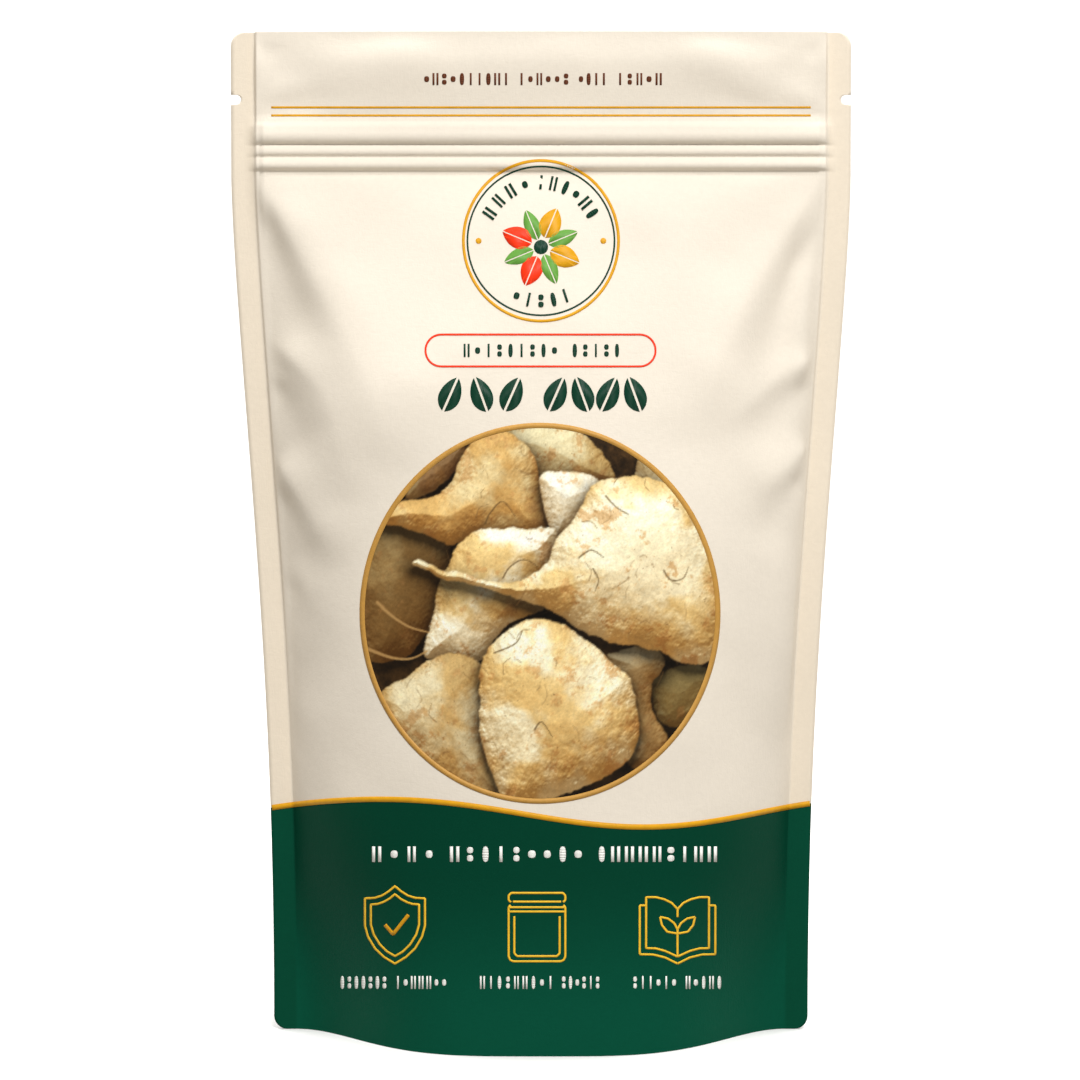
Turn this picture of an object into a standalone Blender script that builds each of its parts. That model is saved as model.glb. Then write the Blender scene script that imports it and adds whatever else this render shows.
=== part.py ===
"""A stand-up seed pouch: two film panels, a folded bottom gusset, a double press-to-close zip and the seeds.

The pouch stands on its bottom edge with its mid-plane on Y = 0, the front facing -Y and the origin under
its middle. A point of the film is known by its place on the flat sheet: u across it from the centre line,
v up it from the bottom edge. Metres, +Z up.
"""

import math

import bmesh
import bpy
import numpy as np
from mathutils import Matrix, Vector

# Driving dimensions of the flat pouch.
WIDTH = 0.130
HEIGHT = 0.210
SIDE_SEAL = 0.006
GUSSET_HALF = 0.035
CORNER_RADIUS = 0.004
FILM = 0.0002
GAP = 0.0003

# The filled shape: how far each panel stands out from the mid-plane, and how that fades up to the zip.
BELLY = 0.0284
SKIRT = 0.005
BELLY_TOP = 0.1815
BELLY_POWER = 1.84
BELLY_ROOT = 0.6

# The gusset's curved seal: where it ends at the side seals, and how sharply it turns up to them.
GUSSET_SEAL_SIDE = 0.032
GUSSET_SEAL_POWER = 3.5
SEAL_STEP = 0.0003

# The zip: two locking ribs on a male tape, two channels on a female tape.
LOCK_HEIGHTS = (0.1827, 0.1853)
TAPE_LOW = 0.1805
TAPE_HIGH = 0.1900
TAPE_BACK = 0.0009
TAPE_THICK = 0.0002
ZIP_HALF_LENGTH = 0.0570
RIB_NECK = 0.0002
RIB_BARB = 0.0005
RIB_TIP = 0.00012
RIB_BARB_START = 0.00005
RIB_REACH = 0.00055
CHANNEL_WALL = 0.0003
CHANNEL_INSIDE = 0.0007
CHANNEL_LIP = 0.0003
CHANNEL_REACH = 0.00035
CHANNEL_LIP_START = 0.00015

# How far the outer face of a closed panel lies from the mid-plane, from the top down through the zip.
PANEL_DEPTHS = (
    (0.2100, 0.00038),
    (0.1960, 0.00042),
    (0.1925, 0.00060),
    (0.1906, 0.00155),
    (0.1892, 0.00200),
    (0.1877, 0.00185),
    (0.1866, 0.00145),
    (0.1860, 0.00190),
    (0.1853, 0.00215),
    (0.1846, 0.00190),
    (0.1840, 0.00145),
    (0.1834, 0.00190),
    (0.1827, 0.00215),
    (0.1819, 0.00190),
    (0.1812, 0.00150),
    (0.1780, 0.00110),
    (0.1600, 0.00060),
)

TEAR_NOTCH_HEIGHT = 0.196
TEAR_NOTCH_DEPTH = 0.0021
TEAR_NOTCH_WIDTH = 0.0021
CUTTER_MARGIN = 0.003

# The seeds: length, width and thickness, then how they lie in rows of (y, count).
SEED_SIZE = (0.0090, 0.0078, 0.0048)
SEED_CLEARANCE = 0.0004
SEED_ROWS = ((-0.0130, 5), (0.0, 6), (0.0130, 5))
SEED_PITCH = 0.0125
SEED_TURN = 137.5

# The mesh: evenly spaced columns over the middle of a panel.
MIDDLE_REACH = 0.0535
MIDDLE_COLUMNS = 18

# Half the flat width between the side seals, and the outer face of a seal of two films and of four.
PANEL_HALF = WIDTH / 2 - SIDE_SEAL
TWO_LAYERS = GAP / 2 + FILM
FOUR_LAYERS = TWO_LAYERS + GAP + FILM
FILM_STACK = 2.0 * FILM + GAP


def smooth_step(value, low, high):
    """0 below low, 1 above high, and a smooth rise between them."""
    share = np.clip((value - low) / (high - low), 0.0, 1.0)
    return share * share * (3.0 - 2.0 * share)


def belly(v):
    """How far the middle of a panel stands out past its side seals at height v."""
    share = np.clip((v - SKIRT) / (BELLY_TOP - SKIRT), 0.0, 1.0)
    return BELLY * (1.0 - share**BELLY_POWER) ** BELLY_ROOT


def arc_length(share, chord, rise):
    """Length along the parabola rise * (1 - t^2) over the half chord, from its crown to t = share."""
    steep = np.maximum(2.0 * rise / chord, 1e-6)
    slope = steep * share
    return chord * (share * np.sqrt(1.0 + slope**2) + np.arcsinh(slope) / steep) / 2.0


def half_chord(rise):
    """Half the width between the side seals: the film doesn't stretch, so it shrinks as rise grows."""
    narrow, wide = 0.5 * PANEL_HALF, PANEL_HALF
    for _ in range(40):
        middle = (narrow + wide) / 2.0
        if arc_length(1.0, middle, rise) > PANEL_HALF:
            wide = middle
        else:
            narrow = middle
    return (narrow + wide) / 2.0


def seal_depth(v):
    """Outer face of the side seal: four films thick over the gusset, two films above it."""
    over_gusset = 1.0 - smooth_step(v, GUSSET_HALF + 0.001, GUSSET_HALF + 0.009)
    return TWO_LAYERS + (FOUR_LAYERS - TWO_LAYERS) * over_gusset


def closed_depth(v):
    """Outer face of the panel between the seals before the belly is added."""
    heights = [height for height, _ in reversed(PANEL_DEPTHS)]
    depths = [depth for _, depth in reversed(PANEL_DEPTHS)]
    if v < heights[0]:
        return seal_depth(v) + (depths[0] - TWO_LAYERS) * smooth_step(v, 0.110, heights[0])
    return float(np.interp(v, heights, depths))


def panel_row(us, v):
    """(x, depth, slope) of the outer face for the flat places us at height v."""
    rise = belly(v)
    chord = half_chord(rise)
    shares = np.linspace(0.0, 1.0, 200)
    inside = np.minimum(np.abs(us), PANEL_HALF)
    share = np.interp(inside, arc_length(shares, chord, rise), shares)
    x = np.sign(us) * (chord * share + np.abs(us) - inside)
    pinch = smooth_step(PANEL_HALF - inside, 0.0, PANEL_HALF - ZIP_HALF_LENGTH - GAP)
    depth = seal_depth(v) + (closed_depth(v) - seal_depth(v)) * pinch + rise * (1.0 - share**2)
    slope = np.where(np.abs(us) < PANEL_HALF, 2.0 * rise * share / chord, 0.0)
    return x, depth, slope


def edge_place(v):
    """Where the film's side edge lies across the flat sheet, with round corners at the top and the bottom."""
    into_corner = max(CORNER_RADIUS - v, v - (HEIGHT - CORNER_RADIUS), 0.0)
    return WIDTH / 2 - CORNER_RADIUS + math.sqrt(max(CORNER_RADIUS**2 - into_corner**2, 0.0))


def columns(v):
    """Places across the film for one row: the seal bands, the pinch beside them and the panel."""
    across = np.linspace(-MIDDLE_REACH, MIDDLE_REACH, MIDDLE_COLUMNS)
    pinched = np.array([ZIP_HALF_LENGTH + GAP, PANEL_HALF])
    outer = np.append(pinched, edge_place(v))
    return np.concatenate([-outer[::-1], across, outer])


def corner_rows():
    """Heights that turn a corner in four steps, measured from the film's edge."""
    return [CORNER_RADIUS * (1.0 - math.cos(math.radians(angle))) for angle in (0, 30, 60, 90)]


def panel_rows():
    """Heights of the rows of a panel, close together where the zip is."""
    turned = corner_rows()
    foot = [SKIRT + 0.002, 0.015, 0.026, GUSSET_HALF + 0.001, 0.044]
    body = [0.058, 0.073, 0.089, 0.105, 0.121, 0.136, 0.150]
    shoulder = [0.160, 0.168, 0.174, 0.178, 0.1800]
    zipped = [height for height, _ in reversed(PANEL_DEPTHS) if 0.178 < height < HEIGHT]
    return turned + foot + body + shoulder + zipped + [0.200] + [HEIGHT - rise for rise in reversed(turned)]


def material(name, colour, roughness):
    """A Principled BSDF with a colour and a roughness."""
    made = bpy.data.materials.new(name)
    made.use_nodes = True
    shader = made.node_tree.nodes["Principled BSDF"]
    shader.inputs["Base Color"].default_value = (*colour, 1.0)
    shader.inputs["Roughness"].default_value = roughness
    shader.inputs["Metallic"].default_value = 0.0
    return made


def link(name, mesh, finish):
    """A named object for a mesh, with its material."""
    made = bpy.data.objects.new(name, mesh)
    bpy.context.scene.collection.objects.link(made)
    mesh.materials.clear()
    mesh.materials.append(finish)
    return made


def sheet_mesh(name, rows, flip):
    """A mesh of quads through rows of points, all rows the same length."""
    form = bmesh.new()
    grid = [[form.verts.new(point) for point in row] for row in rows]
    for low, high in zip(grid, grid[1:]):
        for left in range(len(low) - 1):
            corners = [low[left], low[left + 1], high[left + 1], high[left]]
            form.faces.new(corners[::-1] if flip else corners)
    mesh = bpy.data.meshes.new(name)
    form.to_mesh(mesh)
    form.free()
    mesh.shade_smooth()
    mesh.set_sharp_from_angle(angle=math.radians(40))
    return mesh


def thicken(sheet):
    """Gives a film sheet its gauge, on the side away from its normals."""
    solid = sheet.modifiers.new("gauge", "SOLIDIFY")
    solid.thickness = FILM
    solid.offset = -1.0
    solid.use_even_offset = False


def extrude_outline(name, outline, start, sweep):
    """A closed prism: an outline of points, moved to start and swept along a vector."""
    form = bmesh.new()
    corners = [form.verts.new(Vector(point) + Vector(start)) for point in outline]
    face = form.faces.new(corners)
    swept = bmesh.ops.extrude_face_region(form, geom=[face])
    moved = [item for item in swept["geom"] if isinstance(item, bmesh.types.BMVert)]
    bmesh.ops.translate(form, verts=moved, vec=Vector(sweep))
    bmesh.ops.recalc_face_normals(form, faces=form.faces)
    mesh = bpy.data.meshes.new(name)
    form.to_mesh(mesh)
    form.free()
    return mesh


def notch_cutter(side):
    """A round-ended slot that cuts in from one side edge of the closed pouch."""
    half = TEAR_NOTCH_WIDTH / 2
    tip = WIDTH / 2 - TEAR_NOTCH_DEPTH + half
    angles = [math.radians(90 + step * 22.5) for step in range(9)]
    outline = [(tip + half * math.cos(angle), 0.0, half * math.sin(angle)) for angle in angles]
    outside = WIDTH / 2 + CUTTER_MARGIN
    outline += [(outside, 0.0, -half), (outside, 0.0, half)]
    outline = [(side * x, y, z) for x, y, z in outline]
    name = "tear_notch_cutter_right" if side > 0 else "tear_notch_cutter_left"
    start = (0.0, -CUTTER_MARGIN, TEAR_NOTCH_HEIGHT)
    mesh = extrude_outline(name, outline, start, (0.0, 2.0 * CUTTER_MARGIN, 0.0))
    cutter = bpy.data.objects.new(name, mesh)
    bpy.context.scene.collection.objects.link(cutter)
    cutter.hide_render = True
    cutter.display_type = "WIRE"
    return cutter


def cut_notches(panel, cutters):
    """Cuts the two tear notches out of a panel."""
    for cutter in cutters:
        cut = panel.modifiers.new(cutter.name, "BOOLEAN")
        cut.operation = "DIFFERENCE"
        cut.solver = "EXACT"
        cut.object = cutter


def panel(name, side, finish, cutters):
    """One face of the pouch: side is -1 for the front and 1 for the back."""
    rows = []
    for v in panel_rows():
        x, depth, _ = panel_row(columns(v), v)
        rows.append([(across, side * out, v) for across, out in zip(x, depth)])
    made = link(name, sheet_mesh(name, rows, flip=side > 0), finish)
    thicken(made)
    cut_notches(made, cutters)
    return made


def gusset_seal_height(u):
    """The curved seal that joins the gusset to a panel: low in the middle, up to the fold at the sides."""
    share = np.minimum(np.abs(u) / PANEL_HALF, 1.0)
    return SKIRT + (GUSSET_SEAL_SIDE - SKIRT) * share**GUSSET_SEAL_POWER


def seal_line(us):
    """(x, reach, z, rise) where the gusset leaves a panel, and how far its fold stands above that."""
    places = []
    for u, seal in zip(us, gusset_seal_height(us)):
        x, depth, slope = panel_row(np.array([u]), seal)
        reach = depth[0] - FILM_STACK * math.hypot(1.0, slope[0])
        rise = math.sqrt(max((GUSSET_HALF - seal) ** 2 - reach**2, 0.0))
        places.append((x[0], reach, seal, rise))
    return np.array(places)


def gusset_half(side):
    """Rows of the gusset's underside from one bottom edge to its fold, and the fold last."""
    skirt = []
    for step in corner_rows() + [SKIRT]:
        x, depth, slope = panel_row(columns(step), step)
        inset = depth - FILM_STACK * np.hypot(1.0, slope)
        skirt.append([(across, side * out, step) for across, out in zip(x, inset)])
    us = columns(GUSSET_HALF)
    climb = []
    for share in (0.3, 0.65, 1.0):
        row = []
        for u, seal in zip(us, gusset_seal_height(us)):
            v = SKIRT + (seal - SKIRT) * share + SEAL_STEP * share
            x, depth, slope = panel_row(np.array([u]), v)
            row.append((x[0], side * (depth[0] - FILM_STACK * math.hypot(1.0, slope[0])), v))
        climb.append(row)
    arch = []
    for share in (0.15, 0.35, 0.6, 0.8, 1.0):
        arch.append(
            [
                (x, side * reach * (1.0 - share), seal + SEAL_STEP + rise * share * (2.0 - share))
                for x, reach, seal, rise in seal_line(us)
            ]
        )
    return skirt + climb + arch


def gusset_top(x, y):
    """Height of the gusset's upper face at a place inside the pouch."""
    line = seal_line(np.linspace(-PANEL_HALF, PANEL_HALF, 41))
    reach, seal, rise = (np.interp(x, line[:, 0], line[:, column]) for column in (1, 2, 3))
    share = 1.0 - abs(y) / reach
    return seal + SEAL_STEP + rise * share * (2.0 - share) + FILM


def bottom_gusset(finish):
    """The W-folded film that closes the bottom and spreads into a boat shape when the pouch stands."""
    front, back = gusset_half(-1), gusset_half(1)
    rows = front + back[-2::-1]
    made = link("bottom_gusset", sheet_mesh("bottom_gusset", rows, flip=True), finish)
    thicken(made)
    return made


def male_outline():
    """Section of the male tape: a flat tape with two arrow-headed ribs that point to the back."""
    face = -TAPE_BACK + TAPE_THICK
    outline = [(-TAPE_BACK, TAPE_LOW), (face, TAPE_LOW)]
    for lock in LOCK_HEIGHTS:
        neck = [(face, -RIB_NECK), (RIB_BARB_START, -RIB_NECK), (RIB_BARB_START, -RIB_BARB)]
        tip = [(RIB_REACH, -RIB_TIP)]
        lower = neck + tip
        upper = [(y, -z) for y, z in reversed(lower)]
        outline += [(y, lock + z) for y, z in lower + upper]
    return outline + [(face, TAPE_HIGH), (-TAPE_BACK, TAPE_HIGH)]


def female_outline():
    """Section of the female tape: a flat tape with two lipped channels that hold the ribs."""
    face = TAPE_BACK - TAPE_THICK
    outline = [(TAPE_BACK, TAPE_LOW), (face, TAPE_LOW)]
    for lock in LOCK_HEIGHTS:
        outside = CHANNEL_INSIDE + CHANNEL_WALL
        wall = [(face, -outside), (-CHANNEL_REACH, -outside), (-CHANNEL_REACH, -CHANNEL_LIP)]
        lip = [(-CHANNEL_LIP_START, -CHANNEL_LIP), (-CHANNEL_LIP_START, -CHANNEL_INSIDE)]
        lower = wall + lip + [(face, -CHANNEL_INSIDE)]
        upper = [(y, -z) for y, z in reversed(lower)]
        outline += [(y, lock + z) for y, z in lower + upper]
    return outline + [(face, TAPE_HIGH), (TAPE_BACK, TAPE_HIGH)]


def zip_tape(name, section, finish):
    """One extruded half of the press-to-close zip, running from seal to seal."""
    outline = [(0.0, y, z) for y, z in section]
    mesh = extrude_outline(name, outline, (-ZIP_HALF_LENGTH, 0.0, 0.0), (2.0 * ZIP_HALF_LENGTH, 0.0, 0.0))
    return link(name, mesh, finish)


def seed_mesh():
    """A flattened, rounded square bean with a shallow waist where it sat in the pod."""
    form = bmesh.new()
    bmesh.ops.create_cube(form, size=1.0)
    bmesh.ops.subdivide_edges(form, edges=form.edges, cuts=1, use_grid_fill=True)
    for vert in form.verts:
        round_off = 1.0 - 0.10 * (abs(vert.co.x) * abs(vert.co.y)) * 4.0
        vert.co.x *= SEED_SIZE[0] * 1.12 * round_off
        vert.co.y *= SEED_SIZE[1] * 1.12 * round_off
        vert.co.z *= SEED_SIZE[2] * 1.05
        if vert.co.x > 0.4 * SEED_SIZE[0] and abs(vert.co.y) < 1e-6:
            vert.co.x *= 0.88
    mesh = bpy.data.meshes.new("seed")
    form.to_mesh(mesh)
    form.free()
    mesh.shade_smooth()
    return mesh


def seed_seat(x, y):
    """The middle and the upright of a seed that lies on the gusset at (x, y)."""
    step = 0.001
    across = (gusset_top(x + step, y) - gusset_top(x - step, y)) / (2.0 * step)
    along = (gusset_top(x, y + step) - gusset_top(x, y - step)) / (2.0 * step)
    upright = Vector((-across, -along, 1.0)).normalized()
    foot = Vector((x, y, gusset_top(x, y)))
    reach = 0.45 * SEED_SIZE[0]
    rim = [
        Vector((x + right, y + back, gusset_top(x + right, y + back))) - foot
        for right in (-reach, 0.0, reach)
        for back in (-reach, 0.0, reach)
    ]
    over = max(point.dot(upright) for point in rim)
    return foot + (over + SEED_SIZE[2] / 2 + SEED_CLEARANCE) * upright, upright


def seeds(finish):
    """The loose seeds, one layer deep on the gusset, each turned its own way."""
    shared = seed_mesh()
    count = 0
    for y, number in SEED_ROWS:
        for place in range(number):
            count += 1
            middle, upright = seed_seat((place - (number - 1) / 2) * SEED_PITCH, y)
            turn = Matrix.Rotation(math.radians(SEED_TURN * count), 4, "Z")
            lean = Vector((0, 0, 1)).rotation_difference(upright).to_matrix().to_4x4()
            made = link(f"seed_{count:02d}", shared, finish)
            made.matrix_world = Matrix.Translation(middle) @ lean @ turn
            rounding = made.modifiers.new("rounding", "SUBSURF")
            rounding.levels = 1
            rounding.render_levels = 1


def main():
    for old in list(bpy.data.objects):
        bpy.data.objects.remove(old)
    printed_film = material("printed_film", (0.89, 0.80, 0.66), 0.55)
    gusset_film = material("gusset_film", (0.005, 0.055, 0.030), 0.55)
    zip_plastic = material("zip_plastic", (0.86, 0.85, 0.80), 0.35)
    seed_coat = material("seed_coat", (0.36, 0.20, 0.08), 0.50)
    cutters = [notch_cutter(-1), notch_cutter(1)]
    panel("front_panel", -1, printed_film, cutters)
    panel("back_panel", 1, printed_film, cutters)
    bottom_gusset(gusset_film)
    zip_tape("zip_male_tape", male_outline(), zip_plastic)
    zip_tape("zip_female_tape", female_outline(), zip_plastic)
    seeds(seed_coat)


main()
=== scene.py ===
# %% [markdown]
# # A stand-up seed pouch: formed film, a zip and printed ink
# The real pouch is two printed films and a folded gusset, heat-sealed along the sides, with a
# press-to-close zip across the top. Film doesn't stretch, so every piece here starts as a flat sheet with
# places u (across, from the centre line) and v (up, from the bottom edge). One function bends that sheet
# into the filled shape, and everything printed is drawn flat and then laid on it, as the printer and the
# bag machine do.

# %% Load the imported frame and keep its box
import math

import bpy
import numpy as np
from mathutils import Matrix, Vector


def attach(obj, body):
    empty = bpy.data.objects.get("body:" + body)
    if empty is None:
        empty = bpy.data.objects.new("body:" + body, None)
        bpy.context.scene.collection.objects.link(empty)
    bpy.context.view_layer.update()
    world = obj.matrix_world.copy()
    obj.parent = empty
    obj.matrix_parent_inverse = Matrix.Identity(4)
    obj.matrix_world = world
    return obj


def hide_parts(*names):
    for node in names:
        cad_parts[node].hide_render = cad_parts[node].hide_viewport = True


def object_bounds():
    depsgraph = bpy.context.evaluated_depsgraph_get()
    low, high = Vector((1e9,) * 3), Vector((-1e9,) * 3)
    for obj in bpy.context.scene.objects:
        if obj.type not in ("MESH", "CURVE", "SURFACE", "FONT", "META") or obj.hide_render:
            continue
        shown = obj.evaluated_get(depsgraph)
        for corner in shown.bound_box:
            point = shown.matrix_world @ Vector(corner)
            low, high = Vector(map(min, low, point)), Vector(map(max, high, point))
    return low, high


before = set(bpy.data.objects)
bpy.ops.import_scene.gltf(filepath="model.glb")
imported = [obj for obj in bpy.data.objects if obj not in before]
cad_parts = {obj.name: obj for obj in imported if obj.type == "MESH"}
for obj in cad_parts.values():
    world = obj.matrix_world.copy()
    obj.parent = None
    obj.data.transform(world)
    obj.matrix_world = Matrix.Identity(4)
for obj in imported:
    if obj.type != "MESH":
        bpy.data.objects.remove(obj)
cad_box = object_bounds()
WIDTH = cad_box[1].x - cad_box[0].x
HEIGHT = cad_box[1].z - cad_box[0].z
MM = 0.001


def show(name, data):
    """A new object in the scene that shows the data."""
    made = bpy.data.objects.new(name, data)
    bpy.context.scene.collection.objects.link(made)
    return made


print("pouch", round(WIDTH / MM, 1), "x", round(HEIGHT / MM, 1), "mm")

# %% [markdown]
# ## The filled shape
# A filled pouch could be simulated as two inflated cloths, but the film's shape follows one rule well:
# between the side seals it bows out, and because its length across is fixed, the seals move in as it bows.
# So each height gets a bow, the chord between the seals that the film's length allows, and a cross-section:
# flat in the middle and quick at the sides, and a soft bell at the foot, where the gusset's side seals hold
# it flat.

# %% The film's driving sizes
SIDE_SEAL = 4.8 * MM
PANEL_HALF = WIDTH / 2 - SIDE_SEAL
CORNER_RADIUS = 2.8 * MM
FILM = 0.2 * MM
SKIRT = 5 * MM
GUSSET_HALF = 35 * MM
BELLY = 28.4 * MM
BELLY_TOP = 180.0 * MM
BELLY_POWER = 2.1
BELLY_ROOT = 0.75
TABLE = np.linspace(0.0, 1.0, 240)
HALVINGS = 40


def smooth_step(value, low, high):
    """0 below low, 1 above high, and a smooth rise between them."""
    share = np.clip((value - low) / (high - low), 0.0, 1.0)
    return share * share * (3.0 - 2.0 * share)


def belly(v):
    """How far the middle of a panel bows out at height v."""
    share = np.clip((v - SKIRT) / (BELLY_TOP - SKIRT), 0.0, 1.0)
    return BELLY * (1.0 - share**BELLY_POWER) ** BELLY_ROOT


def half_chord(rise):
    """Half the straight width between the seals once the film bows out by rise."""
    narrow, wide = 0.5 * PANEL_HALF, PANEL_HALF
    for _ in range(HALVINGS):
        middle = (narrow + wide) / 2.0
        steep = max(2.0 * rise / middle, 1e-6)
        length = middle * (math.sqrt(1.0 + steep**2) + math.asinh(steep) / steep) / 2.0
        narrow, wide = (narrow, middle) if length > PANEL_HALF else (middle, wide)
    return (narrow + wide) / 2.0


foot_bow = belly(0.0)
print("foot: bow", round(foot_bow / MM, 1), "mm, half chord", round(half_chord(foot_bow) / MM, 1), "mm")

# %% The cross-section at one height
FLAT_SHARE = 0.65
BOW_KEPT = 0.965
BELL_POWER = 1.9
HELD_HEIGHTS = (4 * MM, 50 * MM)


def section(v):
    """(flat places, x, bow) along TABLE from the centre line to the side seal at height v."""
    rise = belly(v) * BOW_KEPT
    held = 1.0 - smooth_step(v, *HELD_HEIGHTS)
    full = 1.0 - (1.0 - FLAT_SHARE) * TABLE**2 - FLAT_SHARE * TABLE**4
    bell = (1.0 + np.cos(np.pi * TABLE**BELL_POWER)) / 2.0
    bow = rise * (held * bell + (1.0 - held) * full)
    x = half_chord(rise) * TABLE
    steps = np.hypot(np.diff(x), np.diff(bow))
    flat = np.concatenate([[0.0], np.cumsum(steps)])
    return flat * PANEL_HALF / flat[-1], x, bow


halfway = len(TABLE) // 2
print("halfway out at the foot: flat, x, bow", [round(value[halfway] / MM, 1) for value in section(0.0)])

# %% [markdown]
# ## Seals, zip and header
# The side seals are four films thick beside the gusset and two above it. The zip's tapes push three soft
# lobes into the film: a broad one over the grip and one over each lock. Where the zip runs into the side
# seal the jaws crush it, so the lobes drop there and fade out over the seal's inner edge. These could be
# sculpted on the mesh, but written as a depth for each flat place they can be measured and added to the
# bow.

# %% How far the outer face stands off the mid-plane before the bow is added
TWO_LAYERS = 0.22 * MM
FOUR_LAYERS = 0.42 * MM
LAYER_STEP = (1 * MM, 9 * MM)
BODY_GAP = 0.6 * MM
BODY_GAP_RISE = (60 * MM, 120 * MM)
ZIP_BASE = 1.25 * MM
ZIP_RISE, ZIP_FALL = (160 * MM, 181 * MM), (190 * MM, 193 * MM)
# Each lobe of the zip: its lower edge, its upper edge and its height, in mm.
ZIP_LOBES = ((186.5, 191.2, 1.25), (184.0, 186.5, 0.72), (181.1, 184.0, 1.05))
LOBE_LEAN, LOBE_ROUND = 0.66, 0.90
ZIP_CRUSH = (58.2 * MM, 59.1 * MM, 61.6 * MM)
ZIP_CRUSHED = 0.7
HEADER_PILLOW = 1.15 * MM
HEADER_BOW = 1.1 * MM
# The header opens above the zip in two steps: the share of each, where it starts and where it ends, in mm.
HEADER_OPENS = ((0.45, 189, 193), (0.55, 190, 205))
HEADER_CLOSED = 0.6
HEADER_CLOSES = (203 * MM, 210 * MM)
SEAL_RAMP = 0.7 * MM


def seal_depth(v):
    """Outer face of the side seal."""
    over_gusset = 1.0 - smooth_step(v, GUSSET_HALF + LAYER_STEP[0], GUSSET_HALF + LAYER_STEP[1])
    return TWO_LAYERS + (FOUR_LAYERS - TWO_LAYERS) * over_gusset


def zip_depth(v):
    """The zip's push on the film: a base under the tapes and a rounded lobe over each part."""
    base = smooth_step(v, *ZIP_RISE) * (1.0 - smooth_step(v, *ZIP_FALL))
    depth = ZIP_BASE * base
    for low, high, height in ZIP_LOBES:
        share = np.clip((v / MM - low) / (high - low), 0.0, 1.0)
        depth = depth + height * MM * np.sin(np.pi * share**LOBE_LEAN) ** LOBE_ROUND
    return depth


def closed_depth(u, v):
    """Outer face at flat place u and height v, with no filling behind it."""
    away = np.abs(u)
    ramp = smooth_step(PANEL_HALF - away, 0.0, SEAL_RAMP)
    body = BODY_GAP * ramp * smooth_step(v, *BODY_GAP_RISE)
    header = sum(part * smooth_step(v, low * MM, high * MM) for part, low, high in HEADER_OPENS)
    closing = 1.0 - HEADER_CLOSED * smooth_step(v, *HEADER_CLOSES)
    middle = 1.0 - np.minimum(away / PANEL_HALF, 1.0) ** 2
    pillow = header * (HEADER_PILLOW * ramp * closing + HEADER_BOW * middle)
    start, tick, end = ZIP_CRUSH
    crushed = ZIP_CRUSHED * (1.0 - smooth_step(away, tick, end))
    whole = 1.0 - smooth_step(away, start, tick)
    return seal_depth(v) + body + pillow + zip_depth(v) * np.maximum(whole, crushed)


print("depth over a lock", round(float(closed_depth(0.0, 0.1827)) / MM, 2), "mm")

# %% [markdown]
# ## Folds
# Folds start where the zip's end and the side seal hold the film, and run down towards the middle. Each is
# a path on the flat sheet with a height and a width on each side: a narrow side and a wide side make the
# sharp crest with one steep face that creased film has, and a negative height makes the hollow beside it.
# They are added up as distances, which keeps them smooth, instead of being pushed about by hand.

# %% One fold, measured from its path
FOLD_STEPS = 6
FOLD_SMOOTHINGS = 6
FOLD_START_WIDTH = 0.35
FOLD_WIDENED = 0.7
FOLD_RISEN, FOLD_FADES = 0.22, 0.62


def fold(u, v, height, widths, power, path):
    """Height of a fold at flat places in mm: widths are right and left of the way the path runs."""
    path = np.array(path, float)
    steps = np.linspace(0, len(path) - 1, FOLD_STEPS * len(path))
    line = np.stack([np.interp(steps, range(len(path)), path[:, axis]) for axis in (0, 1)], axis=1)
    kernel = np.array([0.25, 0.5, 0.25])
    for _ in range(FOLD_SMOOTHINGS):
        for axis in (0, 1):
            line[1:-1, axis] = np.convolve(line[:, axis], kernel, "valid")
    nearest = np.full(u.shape, 1e9)
    signed = np.zeros(u.shape)
    along = np.zeros(u.shape)
    for index in range(len(line) - 1):
        start, run = line[index], line[index + 1] - line[index]
        length = np.hypot(*run)
        share = np.clip(((u - start[0]) * run[0] + (v - start[1]) * run[1]) / length**2, 0.0, 1.0)
        off_u = u - start[0] - share * run[0]
        off_v = v - start[1] - share * run[1]
        distance = np.hypot(off_u, off_v)
        closer = distance < nearest
        nearest = np.where(closer, distance, nearest)
        signed = np.where(closer, distance * np.sign(run[0] * off_v - run[1] * off_u), signed)
        along = np.where(closer, (index + share) / (len(line) - 1), along)
    spread = FOLD_START_WIDTH + (1.0 - FOLD_START_WIDTH) * smooth_step(along, 0.0, FOLD_WIDENED)
    width = np.where(signed < 0.0, widths[0], widths[1]) * spread
    envelope = smooth_step(along, 0.0, FOLD_RISEN) * (1.0 - smooth_step(along, FOLD_FADES, 1.0))
    return height * np.exp(-((np.abs(signed) / width) ** power)) * envelope


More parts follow.
